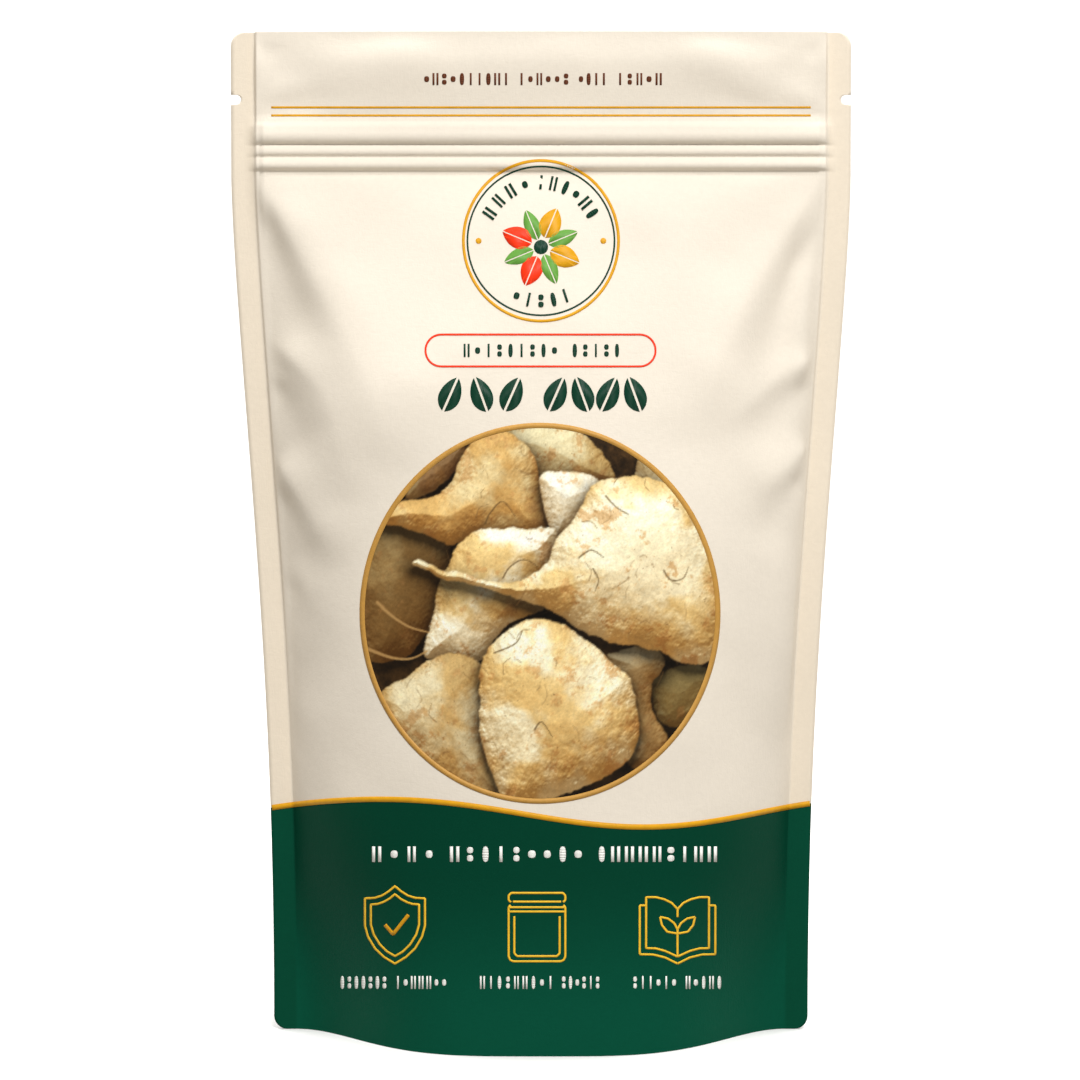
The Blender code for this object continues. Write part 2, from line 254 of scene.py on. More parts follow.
# Each fold: its height, its widths, how square its crest is, and its path, in mm on the flat sheet.
FRONT_FOLDS = (
    (2.5, (8.5, 16.0), 1.7,
     ((-59.8, 181.0), (-54, 171.5), (-46, 157), (-37.5, 143), (-33, 133), (-31, 124), (-30, 116))),
    (-0.9, (7.0, 7.0), 2.0, ((-59.0, 176), (-55.5, 164), (-51, 151), (-46, 138))),
    (1.8, (8.0, 12.0), 1.6, ((-59.4, 146.0), (-52, 142), (-45.5, 136), (-41, 127), (-39, 117), (-38, 110))),
    (-0.7, (7.0, 6.0), 2.0, ((-58.8, 138), (-54, 129), (-48, 117))),
    (1.0, (6.5, 9.0), 1.5, ((-59.0, 121.5), (-53.0, 115), (-46.5, 106), (-43, 97))),
    (-0.7, (7.0, 6.0), 2.0, ((-58.6, 116), (-54.0, 105), (-50.0, 93))),
    (-0.6, (8.0, 8.0), 2.0, ((-58.2, 98), (-54.0, 84), (-51.0, 66))),
    (1.35, (8.5, 7.5), 1.5, ((59.8, 181.0), (52.5, 170), (43.5, 155), (37, 142), (33, 131), (31, 122))),
    (-1.1, (6.0, 5.0), 2.0, ((58.8, 172), (53, 159), (48.5, 146), (46, 132), (45, 120))),
    (0.9, (5.0, 5.0), 2.0, ((57.5, 172), (55, 152), (54.5, 125), (54.5, 100), (54.5, 72), (54.5, 58))),
    (0.95, (7.5, 5.0), 1.5, ((59.4, 143), (51, 138), (43, 132), (35, 125))),
    (-0.8, (6.0, 6.5), 2.0, ((58.8, 138), (50, 130), (41, 119))),
    (0.65, (6.5, 4.0), 1.5, ((59.0, 124), (52, 119), (45, 111))),
    (-0.70, (6.0, 6.0), 2.0, ((58.4, 119), (52, 110), (46, 100))),
    (-0.50, (6.0, 6.0), 2.0, ((-61, 208), (-53, 203), (-48, 197), (-42, 193))),
    (0.45, (5.0, 6.0), 2.0, ((-61, 196), (-46, 200), (-30, 204), (-16, 206))),
    (-0.40, (5.0, 6.0), 2.0, ((60, 209), (54, 203), (50, 198), (44, 194))),
    (0.60, (6.0, 6.0), 2.0, ((61, 194), (48, 199), (36, 204), (24, 207))),
    (-0.28, (5.0, 5.0), 2.0, ((50, 193), (36, 197), (20, 200))),
)
BACK_FOLDS = (
    (1.3, (4.0, 13.0), 1.4, ((-58.6, 180.0), (-52, 170), (-45, 155), (-40, 141))),
    (-1.4, (5.0, 5.5), 2.0, ((-58.0, 174), (-53, 160), (-47, 146), (-42, 134))),
    (0.8, (3.0, 8.0), 1.4, ((-58.2, 132), (-51, 124), (-44, 113))),
    (-0.8, (4.5, 4.5), 2.0, ((-57.6, 126), (-52, 116), (-47, 104))),
    (1.4, (13.0, 3.4), 1.3, ((58.6, 180.0), (53, 171), (46, 160), (40, 146))),
    (-1.5, (5.5, 5.5), 2.0, ((58.0, 175), (54, 162), (48, 149), (43, 138))),
    (1.0, (9.0, 3.0), 1.3, ((58.2, 147), (51, 139), (43, 128))),
    (-1.1, (5.0, 5.0), 2.0, ((57.6, 142), (52, 131), (46, 118))),
    (0.40, (6.0, 5.0), 2.0, ((60, 196), (46, 200), (28, 205), (14, 207))),
    (-0.45, (5.0, 5.0), 2.0, ((-60, 207), (-50, 202), (-42, 196))),
)
print(len(FRONT_FOLDS), "folds in front,", len(BACK_FOLDS), "behind")

# %% All the relief of one panel
RIPPLE = 0.05 * MM
RIPPLE_COUNT = 16
RIPPLE_LENGTHS = (9.0, 38.0)
RELIEF_FOOT = (36 * MM, 62 * MM)
RELIEF_EDGE = 2.6 * MM
ZIP_MIDDLE = 186.0 * MM
ZIP_HOLD = (5.2 * MM, 8.5 * MM)
TOP_HOLD = 0.206


def relief(u, v, folds, seed):
    """How far the film stands off its smooth shape: folds and faint ripples, none where it is sealed."""
    raised = np.zeros(u.shape)
    for height, widths, power, path in folds:
        raised += fold(u / MM, v / MM, height, widths, power, path) * MM
    chance = np.random.default_rng(seed)
    for _ in range(RIPPLE_COUNT):
        length = chance.uniform(*RIPPLE_LENGTHS)
        turn = chance.uniform(0, np.pi)
        phase = chance.uniform(0, 6.28)
        way = (u * np.cos(turn) + v * np.sin(turn)) / (length * MM)
        raised += RIPPLE * (length / RIPPLE_LENGTHS[1]) * np.sin(2.0 * np.pi * way + phase)
    inside = smooth_step(PANEL_HALF - np.abs(u), 0.0, RELIEF_EDGE)
    zip_held = smooth_step(np.abs(v - ZIP_MIDDLE), *ZIP_HOLD)
    top_held = 1.0 - smooth_step(v, TOP_HOLD, HEIGHT)
    return raised * inside * zip_held * top_held * smooth_step(v, *RELIEF_FOOT)


print("ripples of up to", round(RIPPLE / MM, 2), "mm")

# %% [markdown]
# ## The sheets
# A grid of rows and columns of flat places becomes the film: rows lie close together at the zip and the
# round corners, and the outer columns follow the cut edge with its tear notches. The flat places are kept
# as the sheet's UV map, so that ink and pattern follow the film and not the room.

# %% Rows, columns and the cut edge
NOTCH_HEIGHT = 196 * MM
NOTCH_DEPTH = 2.1 * MM
NOTCH_HALF = 1.05 * MM
FLAT_SPAN = 220 * MM
LIP = 0.01 * MM
# Rows of the body in mm, and columns in shares of the half width: from, to and how many.
ROW_SPANS = ((5.0, 36.0, 34), (37.0, 160.0, 134), (160.8, 179.6, 26), (180.0, 194.6, 62))
HEADER_ROWS = 10
COLUMN_SPANS = ((0, 0.93, 62), (0.94, 0.985, 6), (0.9885, 1.0, 7))
SEAL_COLUMNS = 6
TURN_SHARES = [1.0 - math.cos(math.radians(angle)) for angle in range(0, 91, 15)]


def edge_place(v):
    """Where the cut edge lies across the flat sheet at height v."""
    into = max(CORNER_RADIUS - v, v - (HEIGHT - CORNER_RADIUS), 0.0)
    edge = WIDTH / 2 - CORNER_RADIUS + math.sqrt(max(CORNER_RADIUS**2 - into**2, 0.0))
    off = abs(v - NOTCH_HEIGHT)
    if off < NOTCH_HALF:
        edge -= NOTCH_DEPTH - NOTCH_HALF + math.sqrt(NOTCH_HALF**2 - off**2)
    return edge


def sheet_heights():
    """The heights of a panel's rows."""
    turn = [CORNER_RADIUS * share for share in TURN_SHARES]
    notch = [NOTCH_HEIGHT + NOTCH_HALF * math.sin(math.radians(angle)) for angle in range(-90, 91, 18)]
    lips = [NOTCH_HEIGHT - NOTCH_HALF - LIP, NOTCH_HEIGHT + NOTCH_HALF + LIP]
    body = [height * MM for low, high, count in ROW_SPANS for height in np.linspace(low, high, count)]
    header = list(np.linspace(198 * MM, HEIGHT - CORNER_RADIUS - 0.5 * MM, HEADER_ROWS))
    return np.array(sorted(turn + body + notch + lips + header + [HEIGHT - rise for rise in turn]))


def sheet_columns():
    """Shares of the panel's half width, then shares of the seal's band past 1."""
    panel = [np.linspace(low, high, count) for low, high, count in COLUMN_SPANS]
    side = np.concatenate([*panel, 1 + np.linspace(0.1, 1, SEAL_COLUMNS)])
    return np.concatenate([-side[:0:-1], side])


def flat_places(heights, columns):
    """Flat u and v of every vertex of a sheet."""
    edges = np.array([edge_place(height) for height in heights])[:, None]
    share = np.abs(columns)[None, :]
    inside = np.minimum(share, 1.0) * PANEL_HALF
    band = np.maximum(share - 1.0, 0.0) * (edges - PANEL_HALF)
    u = np.sign(columns)[None, :] * (inside + band)
    return u, np.repeat(heights[:, None], len(columns), axis=1)


def film_row(us, v):
    """(x, depth) of the outer face at flat places us, all at height v."""
    flat, x, bow = section(v)
    inside = np.minimum(np.abs(us), PANEL_HALF)
    across = np.sign(us) * (np.interp(inside, flat, x) + np.abs(us) - inside)
    return across, closed_depth(us, v) + np.interp(inside, flat, bow)


def film_places(u, v, side, folds, seed):
    """Places in the room of a grid of flat places: side is -1 for the front and 1 for the back."""
    rows = [film_row(row, height) for row, height in zip(u, v[:, 0])]
    x = np.array([row[0] for row in rows])
    y = side * np.array([row[1] for row in rows])
    places = np.stack([x, y, v], axis=2)
    out = -side * np.cross(np.gradient(places, axis=1), np.gradient(places, axis=0))
    out /= np.linalg.norm(out, axis=2, keepdims=True)
    return places + out * relief(u, v, folds, seed)[:, :, None]


print(len(sheet_heights()), "rows,", len(sheet_columns()), "columns")

# %% [markdown]
# ## Two UV maps
# Packs that bulge are printed from pre-distorted artwork: it is stretched on the flat film so that, on the
# filled pack, circles look round and lines look straight from in front. The second UV map does the same. It
# holds where each vertex appears to lie on the pouch's mid-plane, seen from a reader's eye in front of it.

# %% A grid of places as a mesh with its flat places and its artwork places as UV maps
EYE_DISTANCE = 600 * MM
EYE_HEIGHT = 123.1 * MM


def artwork_places(places, side):
    """Where a reader in front of one side sees each place, on the mid-plane: the pattern's x and height."""
    nearness = EYE_DISTANCE / (EYE_DISTANCE - side * places[..., 1])
    return -side * places[..., 0] * nearness, EYE_HEIGHT + (places[..., 2] - EYE_HEIGHT) * nearness


def grid_quads(rows, columns):
    """The four-cornered faces of a grid of places."""
    index = np.arange(rows * columns).reshape(rows, columns)
    return np.stack([index[:-1, :-1], index[:-1, 1:], index[1:, 1:], index[1:, :-1]], axis=2).reshape(-1, 4)


def sheet_object(name, places, u, v, side):
    """A sheet of quads with its faces turned outwards: side is -1 in front and 1 behind."""
    quads = grid_quads(*u.shape)
    if side > 0:
        quads = quads[:, ::-1]
    mesh = bpy.data.meshes.new(name)
    mesh.from_pydata(places.reshape(-1, 3).tolist(), [], quads.tolist())
    for layer_name, (across, up) in (("flat", (u, v)), ("artwork", artwork_places(places, side))):
        pairs = np.stack([0.5 + across.ravel() / FLAT_SPAN, up.ravel() / FLAT_SPAN], axis=1)
        layer = mesh.uv_layers.new(name=layer_name)
        layer.data.foreach_set("uv", pairs[quads.ravel()].ravel().astype(np.float32))
    mesh.shade_smooth()
    return show(name, mesh)


heights, column_shares = sheet_heights(), sheet_columns()
flat_u, flat_v = flat_places(heights, column_shares)
front_places = film_places(flat_u, flat_v, -1, FRONT_FOLDS, seed=3)
back_places = film_places(flat_u, flat_v, 1, BACK_FOLDS, seed=8)
front_film = sheet_object("front_film", front_places, flat_u, flat_v, -1)
back_film = sheet_object("back_film", back_places, flat_u, flat_v, 1)
deepest = -front_places[:, :, 1].min()
print("front film", len(front_film.data.polygons), "faces, deepest", round(deepest / MM, 1), "mm")

# %% [markdown]
# ## The bottom gusset
# The gusset is one film folded up between the panels. It lies against each panel along the skirt and up a
# curved seal, then arches over to the fold, so a standing pouch has a boat-shaped hollow under it. Cloth
# simulation could push a folded sheet into place, but built from the panels' own cross-sections, one film
# further in, it meets them exactly.

# %% Rows of the gusset from the front edge over its fold to the back edge
SEAL_SIDE = 32 * MM
SEAL_POWER = 3.5
GUSSET_INSET = FILM + 0.03 * MM
CLIMB_ROWS = 14
ARCH_ROWS = 26
OVER_SEAL = 0.3 * MM
SLOPE_STEP = 0.2 * MM


def gusset_seal(u):
    """Height of the seal that joins the gusset to a panel."""
    return SKIRT + (SEAL_SIDE - SKIRT) * min(abs(u) / PANEL_HALF, 1.0) ** SEAL_POWER


def inside_place(u, v):
    """(x, reach) of the gusset where it lies against a panel at one flat place."""
    x, depth = film_row(np.array([u - SLOPE_STEP, u, u + SLOPE_STEP]), v)
    slope = (depth[2] - depth[0]) / max(x[2] - x[0], 1e-9)
    return x[1], depth[1] - GUSSET_INSET * math.hypot(1.0, slope)


def gusset_column(share):
    """Places from the front edge to the fold for one column, as (x, reach, z, flat v)."""
    places = []
    for v in [CORNER_RADIUS * turned for turned in TURN_SHARES] + [SKIRT]:
        u = flat_places(np.array([v]), np.array([share]))[0][0, 0]
        places.append((*inside_place(u, v), v, v))
    u = flat_places(np.array([SKIRT]), np.array([share]))[0][0, 0]
    top = gusset_seal(u)
    for step in np.linspace(0, 1, CLIMB_ROWS + 1)[1:]:
        v = SKIRT + (top - SKIRT + OVER_SEAL) * step
        places.append((*inside_place(u, v), v, v))
    x, reach = inside_place(u, top)
    rise = math.sqrt(max((GUSSET_HALF - top) ** 2 - reach**2, 0.0))
    for step in np.linspace(0, 1, ARCH_ROWS + 1)[1:]:
        z = top + OVER_SEAL + rise * step * (2.0 - step)
        places.append((x, reach * (1.0 - step), z, top + (GUSSET_HALF - top) * step))
    return places


columns = [gusset_column(share) for share in column_shares]
half = np.array(columns).transpose(1, 0, 2)
front_half = half * np.array([1, -1, 1, 1])
gusset_grid = np.concatenate([front_half, half[-2::-1]])
gusset_u = np.repeat(np.array([column_shares * PANEL_HALF]), len(gusset_grid), axis=0)
bottom_film = sheet_object("bottom_film", gusset_grid[:, :, :3], gusset_u, gusset_grid[:, :, 3], 1)
gusset_top = gusset_grid[:, :, 2].max()
print("gusset", gusset_grid.shape[:2], "places, top of its fold", round(gusset_top / MM, 1), "mm")

# %% [markdown]
# ## Materials: printed film
# Matte laminate over paper-white ink. The colour comes from flat places, so it stays with the film: cream
# above the wave and green below, a touch deeper where the layers are fused. Fine short fibres in the bump
# break up the sheen. The wave is a polynomial through a few listed points, evaluated in the shader by
# Horner's rule, because a shader has no loops: each step multiplies by x and adds the next coefficient.
# The green is painted lighter towards the foot: painted light standing in for the floor's bounce.

# %% Small helpers for shader trees
WAVE_POINTS = ((-62, 46.0), (-52, 47.6), (-43, 48.6), (-36, 48.8), (-26, 48.4), (-15, 47.4), (-5, 46.0),
               (4, 44.3), (13, 43.3), (24, 42.9), (34, 43.7), (46, 46.0), (57, 47.8), (63, 48.4))
WAVE_SCALE = 65.0
WAVE_POWERS = 7


def wave_terms():
    """The wave's height in mm over the centre line, as polynomial terms with the highest power first."""
    across, height = np.array(WAVE_POINTS).T
    return np.polyfit(across / WAVE_SCALE, height, WAVE_POWERS)


def shader(name):
    """(material, its tree, its Principled shader)."""
    made = bpy.data.materials.new(name)
    made.use_nodes = True
    return made, made.node_tree, made.node_tree.nodes["Principled BSDF"]


def put(tree, kind, links=(), **values):
    """Adds a node, sets its properties, and links or sets its inputs from (input, socket or value) pairs."""
    node = tree.nodes.new(kind)
    for key, value in values.items():
        setattr(node, key, value)
    for key, source in links:
        if isinstance(source, bpy.types.NodeSocket):
            tree.links.new(source, node.inputs[key])
        else:
            node.inputs[key].default_value = source
    return node


def maths(tree, operation, *sources):
    """One Math node's output."""
    return put(tree, "ShaderNodeMath", list(enumerate(sources)), operation=operation).outputs[0]


def between(tree, value, low, high, to_low=0.0, to_high=1.0):
    """A clamped smooth rise of value from low to high."""
    pairs = (("Value", value), ("From Min", low), ("From Max", high), ("To Min", to_low), ("To Max", to_high))
    return put(tree, "ShaderNodeMapRange", pairs, interpolation_type="SMOOTHSTEP").outputs["Result"]


def noise(tree, vector, scale, detail=2.0, roughness=0.5, distortion=0.0):
    """A noise value about 0.5."""
    shape = (("Scale", scale), ("Detail", detail), ("Roughness", roughness), ("Distortion", distortion))
    return put(tree, "ShaderNodeTexNoise", (("Vector", vector), *shape)).outputs["Fac"]


def on_object(tree):
    """The place on the object, which doesn't move when the piece is exported."""
    return put(tree, "ShaderNodeTexCoord").outputs["Object"]


def blend_colours(tree, share, first, second):
    """first where share is 0 and second where it is 1."""
    node = put(tree, "ShaderNodeMix", (), data_type="RGBA")
    for socket, source in ((node.inputs[0], share), (node.inputs[6], first), (node.inputs[7], second)):
        if isinstance(source, bpy.types.NodeSocket):
            tree.links.new(source, socket)
        else:
            socket.default_value = (*source, 1.0) if isinstance(source, tuple) else source
    return node.outputs[2]


def set_tone(tree, surface, colour, tone):
    """Gives a surface a colour made darker or lighter by tone."""
    toned = put(tree, "ShaderNodeVectorMath", [(0, colour), (3, tone)], operation="SCALE").outputs[0]
    tree.links.new(toned, surface.inputs["Base Color"])


def set_bump(tree, surface, height, strength, distance=0.2 * MM):
    """Gives a surface a bump from a height of 0 to 1."""
    pairs = (("Height", height), ("Strength", strength), ("Distance", distance))
    tree.links.new(put(tree, "ShaderNodeBump", pairs).outputs[0], surface.inputs["Normal"])


print("wave at the centre", round(float(np.polyval(wave_terms(), 0.0)), 2), "mm")

# %% The printed film
CREAM = (0.875, 0.805, 0.695)
CREAM_SEALED = (0.885, 0.790, 0.650)
GREEN = (0.0012, 0.050, 0.026)
GREEN_SEALED = (0.0022, 0.068, 0.036)
# Painted light: the green foot is painted lighter, standing in for light bounced up from the floor.
GREEN_FOOT_BOUNCE_LIT = (0.0024, 0.082, 0.045)
FOOT_BOUNCE_FADE = (4.0, 40.0)
WAVE_BLUR = 0.06
SEAL_BLUR = (0.4, 0.5)
CLOUD_SCALE, SPECK_SCALE, SOFT_SCALE = 22.0, 900.0, 130.0
MIDDLE = (0.3, 0.7)
# Two sets of fibres that cross: how each is turned and stretched, and its noise's scale.
FIBRES = (((0.4, 0.9, 0.6), (1.0, 1.0, 0.28), 1500.0), ((0.2, -1.2, -0.5), (0.3, 1.0, 1.0), 1250.0))
FIBRE_BUMP = 0.16
FIBRE_HEIGHT = 0.25 * MM
FILM_ROUGHNESS = (0.42, 0.51)
FILM_SHINE = 0.03


def flat_axes(tree, layer_name):
    """(across, up) in mm from a UV map of the film."""
    uv = put(tree, "ShaderNodeUVMap", (), uv_map=layer_name).outputs[0]
    axes = put(tree, "ShaderNodeSeparateXYZ", [(0, uv)])
    across = maths(tree, "MULTIPLY", maths(tree, "SUBTRACT", axes.outputs[0], 0.5), FLAT_SPAN / MM)
    return across, maths(tree, "MULTIPLY", axes.outputs[1], FLAT_SPAN / MM)


def above_wave(tree):
    """0 below the wave and 1 above it, as a reader in front sees it."""
    across, up = flat_axes(tree, "artwork")
    share = maths(tree, "DIVIDE", across, WAVE_SCALE)
    terms = wave_terms()
    height = float(terms[0])
    for term in terms[1:]:
        height = maths(tree, "MULTIPLY_ADD", height, share, float(term))
    return between(tree, maths(tree, "SUBTRACT", up, height), -WAVE_BLUR, WAVE_BLUR)


def fibre_height(tree, place):
    """Two crossing sets of short fibres over a softer unevenness, as one height."""
    sets = []
    for turn, stretch, scale in FIBRES:
        along = put(tree, "ShaderNodeMapping", [("Vector", place), ("Rotation", turn), ("Scale", stretch)])
        sets.append(noise(tree, along.outputs[0], scale, 3.0, 0.6, 1.2))
    soft = noise(tree, place, SOFT_SCALE, 2.0, 0.5)
    return maths(tree, "ADD", maths(tree, "ADD", *sets), maths(tree, "MULTIPLY", soft, 2.5))


def printed_film(name):
    """Film printed cream above the wave and green below it, both a touch deeper where it is sealed,
    and the green painted lighter towards the foot as painted floor bounce light.
    """
    made, tree, surface = shader(name)
    across, up = flat_axes(tree, "flat")
    seal = PANEL_HALF / MM
    side = between(tree, maths(tree, "ABSOLUTE", across), seal - SEAL_BLUR[0], seal + SEAL_BLUR[1])
    cream = blend_colours(tree, side, CREAM, CREAM_SEALED)
    # Painted light: the green turns lighter towards the foot, standing in for light bounced up from the
    # floor.
    green = blend_colours(tree, between(tree, up, *FOOT_BOUNCE_FADE), GREEN_FOOT_BOUNCE_LIT, GREEN)
    green = blend_colours(tree, side, green, GREEN_SEALED)
    ink = blend_colours(tree, above_wave(tree), green, cream)
    place = on_object(tree)
    cloud = noise(tree, place, CLOUD_SCALE, 3.0, 0.55)
    speck = noise(tree, place, SPECK_SCALE, 2.0, 0.6)
    broad = between(tree, cloud, *MIDDLE, 0.972, 1.012)
    set_tone(tree, surface, ink, maths(tree, "ADD", broad, between(tree, speck, *MIDDLE, -0.012, 0.012)))
    set_bump(tree, surface, fibre_height(tree, place), FIBRE_BUMP, FIBRE_HEIGHT)
    tree.links.new(between(tree, cloud, *MIDDLE, *FILM_ROUGHNESS), surface.inputs["Roughness"])
    surface.inputs["Specular IOR Level"].default_value = FILM_SHINE
    return made


film_ink = printed_film("film_ink")
for film in (front_film, back_film, bottom_film):
    film.data.materials.append(film_ink)
print("film material has", len(film_ink.node_tree.nodes), "nodes")

# %% [markdown]
# ## Laying ink on the film
# Everything printed is drawn flat on the artwork's plane, in millimetres from the pouch's centre line and
# foot. It could be one painted texture, but ink with edges of its own stays sharp at any size. Four Geometry
# Nodes trees turn a drawing into ink: strokes (a curve given a width), fills (a closed curve filled), marks
# (small shapes set on a curve's points, which stand where the pouch carries words) and sheets (a flat mesh as
# it is). All four end the same way: each vertex looks itself up on the film's artwork map, moves there, and
# rises along the film's normal. That is why folds carry the ink with them.

# %% The shared end of the four trees
INK = 0.03 * MM
INK_LIFT = 0.035 * MM


def ink_tree(name, wanted):
    """(tree, its input sockets): wanted is (name, socket type, default) rows beside the shared ones."""
    tree = bpy.data.node_groups.new(name, "GeometryNodeTree")
    tree.interface.new_socket("Drawing", in_out="INPUT", socket_type="NodeSocketGeometry")
    shared = (("Film", "NodeSocketObject", None), ("Ink", "NodeSocketMaterial", None),
              ("Lift", "NodeSocketFloat", INK_LIFT))
    for label, kind, value in (*wanted, *shared):
        socket = tree.interface.new_socket(label, in_out="INPUT", socket_type=kind)
        if value is not None:
            socket.default_value = value
    tree.interface.new_socket("Print", in_out="OUTPUT", socket_type="NodeSocketGeometry")
    return tree, tree.nodes.new("NodeGroupInput").outputs


def lay_on_film(tree, given, drawing):
    """Moves the drawing onto the film, realises it, and gives it its ink."""
    axes = put(tree, "ShaderNodeSeparateXYZ", [(0, put(tree, "GeometryNodeInputPosition").outputs[0])])
    across = maths(tree, "MULTIPLY_ADD", axes.outputs[0], 1.0 / FLAT_SPAN, 0.5)
    up = maths(tree, "MULTIPLY", axes.outputs[1], 1.0 / FLAT_SPAN)
    wanted = put(tree, "ShaderNodeCombineXYZ", ((0, across), (1, up))).outputs[0]
    film = put(tree, "GeometryNodeObjectInfo", [("Object", given["Film"])]).outputs["Geometry"]
    named = put(tree, "GeometryNodeInputNamedAttribute", [("Name", "artwork")], data_type="FLOAT_VECTOR")
    artwork = named.outputs[0]

    def found(kind):
        value = put(tree, kind).outputs[0]
        pairs = (("Mesh", film), ("Value", value), ("Source UV Map", artwork), ("Sample UV", wanted))
        node = tree.nodes.new("GeometryNodeSampleUVSurface")
        node.data_type = "FLOAT_VECTOR"
        sockets = {socket.identifier: socket for socket in node.inputs if socket.enabled}
        for key, source in pairs:
            tree.links.new(source, sockets[key])
        return node.outputs[0]

    rise = maths(tree, "ADD", given["Lift"], axes.outputs[2])
    normal = found("GeometryNodeInputNormal")
    lift = put(tree, "ShaderNodeVectorMath", [(0, normal), (3, rise)], operation="SCALE")
    place = found("GeometryNodeInputPosition")
    pairs = (("Geometry", drawing), ("Position", place), ("Offset", lift.outputs[0]))
    moved = put(tree, "GeometryNodeSetPosition", pairs)
    real = put(tree, "GeometryNodeRealizeInstances", [("Geometry", moved.outputs[0])])
    inked = put(tree, "GeometryNodeSetMaterial", [("Geometry", real.outputs[0]), ("Material", given["Ink"])])
    put(tree, "NodeGroupOutput", [(0, inked.outputs[0])])


# %% The four trees
def stroke_tree():
    """A curve becomes a flat ribbon of the given width."""
    wanted = (("Width", "NodeSocketFloat", 0.5 * MM), ("Step", "NodeSocketFloat", 0.5 * MM))
    tree, given = ink_tree("ink_strokes", wanted)
    dense = put(tree, "GeometryNodeResampleCurve", [("Curve", given["Drawing"])], mode="LENGTH")
    tree.links.new(given["Step"], dense.inputs["Length"])
    level = put(tree, "GeometryNodeSetCurveNormal", [("Curve", dense.outputs[0])], mode="Z_UP")
    reach = maths(tree, "MULTIPLY", given["Width"], 0.5)
    left = put(tree, "ShaderNodeCombineXYZ", [(0, maths(tree, "MULTIPLY", reach, -1.0))]).outputs[0]
    right = put(tree, "ShaderNodeCombineXYZ", [(0, reach)]).outputs[0]
    pen = put(tree, "GeometryNodeCurvePrimitiveLine", (("Start", left), ("End", right)))
    curves = (("Curve", level.outputs[0]), ("Profile Curve", pen.outputs[0]))
    ribbon = put(tree, "GeometryNodeCurveToMesh", curves)
    lay_on_film(tree, given, ribbon.outputs[0])
    return tree


def fill_tree():
    """Closed curves become filled faces, split so that they follow the film."""
    tree, given = ink_tree("ink_fills", [("Splits", "NodeSocketInt", 1)])
    faces = put(tree, "GeometryNodeFillCurve", [("Curve", given["Drawing"])], mode="TRIANGLES")
    split = put(tree, "GeometryNodeSubdivideMesh", (("Mesh", faces.outputs[0]), ("Level", given["Splits"])))
    lay_on_film(tree, given, split.outputs[0])
    return tree


def random_value(tree, kind, seed, low, high):
    """A random value of one kind for each point, from a seed."""
    node = tree.nodes.new("FunctionNodeRandomValue")
    node.data_type = kind
    sockets = {socket.name: socket for socket in node.inputs if socket.enabled}
    tree.links.new(seed, sockets["Seed"])
    for key, source in (("Min", low), ("Max", high)):
        if isinstance(source, bpy.types.NodeSocket):
            tree.links.new(source, sockets[key])
        else:
            sockets[key].default_value = source
    return next(socket for socket in node.outputs if socket.enabled)


def mark_tree():
    """Every point of a curve gets one of the mark shapes, turned along the curve and varied a little."""
    wanted = (("Marks", "NodeSocketCollection", None), ("Size", "NodeSocketFloat", 2.0 * MM),
              ("Aspect", "NodeSocketFloat", 1.0), ("Slack", "NodeSocketFloat", 0.15),
              ("Seed", "NodeSocketInt", 1))
    tree, given = ink_tree("ink_marks", wanted)
    pairs = (("Collection", given["Marks"]), ("Separate Children", True))
    shapes = put(tree, "GeometryNodeCollectionInfo", pairs)
    along = put(tree, "GeometryNodeInputTangent").outputs[0]
    turned = put(tree, "FunctionNodeAlignRotationToVector", [("Vector", along)], axis="X", pivot_axis="Z")
    chosen = random_value(tree, "INT", given["Seed"], 0, MARK_KINDS - 1)
    varied = random_value(tree, "FLOAT", given["Seed"], maths(tree, "SUBTRACT", 1.0, given["Slack"]), 1.0)
    wide = maths(tree, "MULTIPLY", maths(tree, "MULTIPLY", given["Size"], given["Aspect"]), varied)
    scale = put(tree, "ShaderNodeCombineXYZ", ((0, wide), (1, given["Size"]), (2, given["Size"])))
    placed = put(tree, "GeometryNodeInstanceOnPoints", (
        ("Points", given["Drawing"]), ("Instance", shapes.outputs[0]), ("Pick Instance", True),
        ("Instance Index", chosen), ("Rotation", turned.outputs[0]), ("Scale", scale.outputs[0]),
    ))
    real = put(tree, "GeometryNodeRealizeInstances", [("Geometry", placed.outputs[0])])
    lay_on_film(tree, given, real.outputs[0])
    return tree


def sheet_tree():
    """A flat mesh is laid as it is."""
    tree, given = ink_tree("ink_sheet", ())
    lay_on_film(tree, given, given["Drawing"])
    return tree


MARK_KINDS = 5
STROKES, FILLS, MARKS, SHEETS = stroke_tree(), fill_tree(), mark_tree(), sheet_tree()
print([tree.name for tree in (STROKES, FILLS, MARKS, SHEETS)])

# %% From a drawing to a piece of ink
def drawing_curve(name, paths, closed):
    """A curve object on the artwork's plane from paths in mm."""
    data = bpy.data.curves.new(name, "CURVE")
    data.dimensions = "3D"
    for path in paths:
        spline = data.splines.new("POLY")
        spline.points.add(len(path) - 1)
        for point, (across, up) in zip(spline.points, path):
            point.co = (across * MM, up * MM, 0.0, 1.0)
        spline.use_cyclic_u = closed
    return show(name, data)


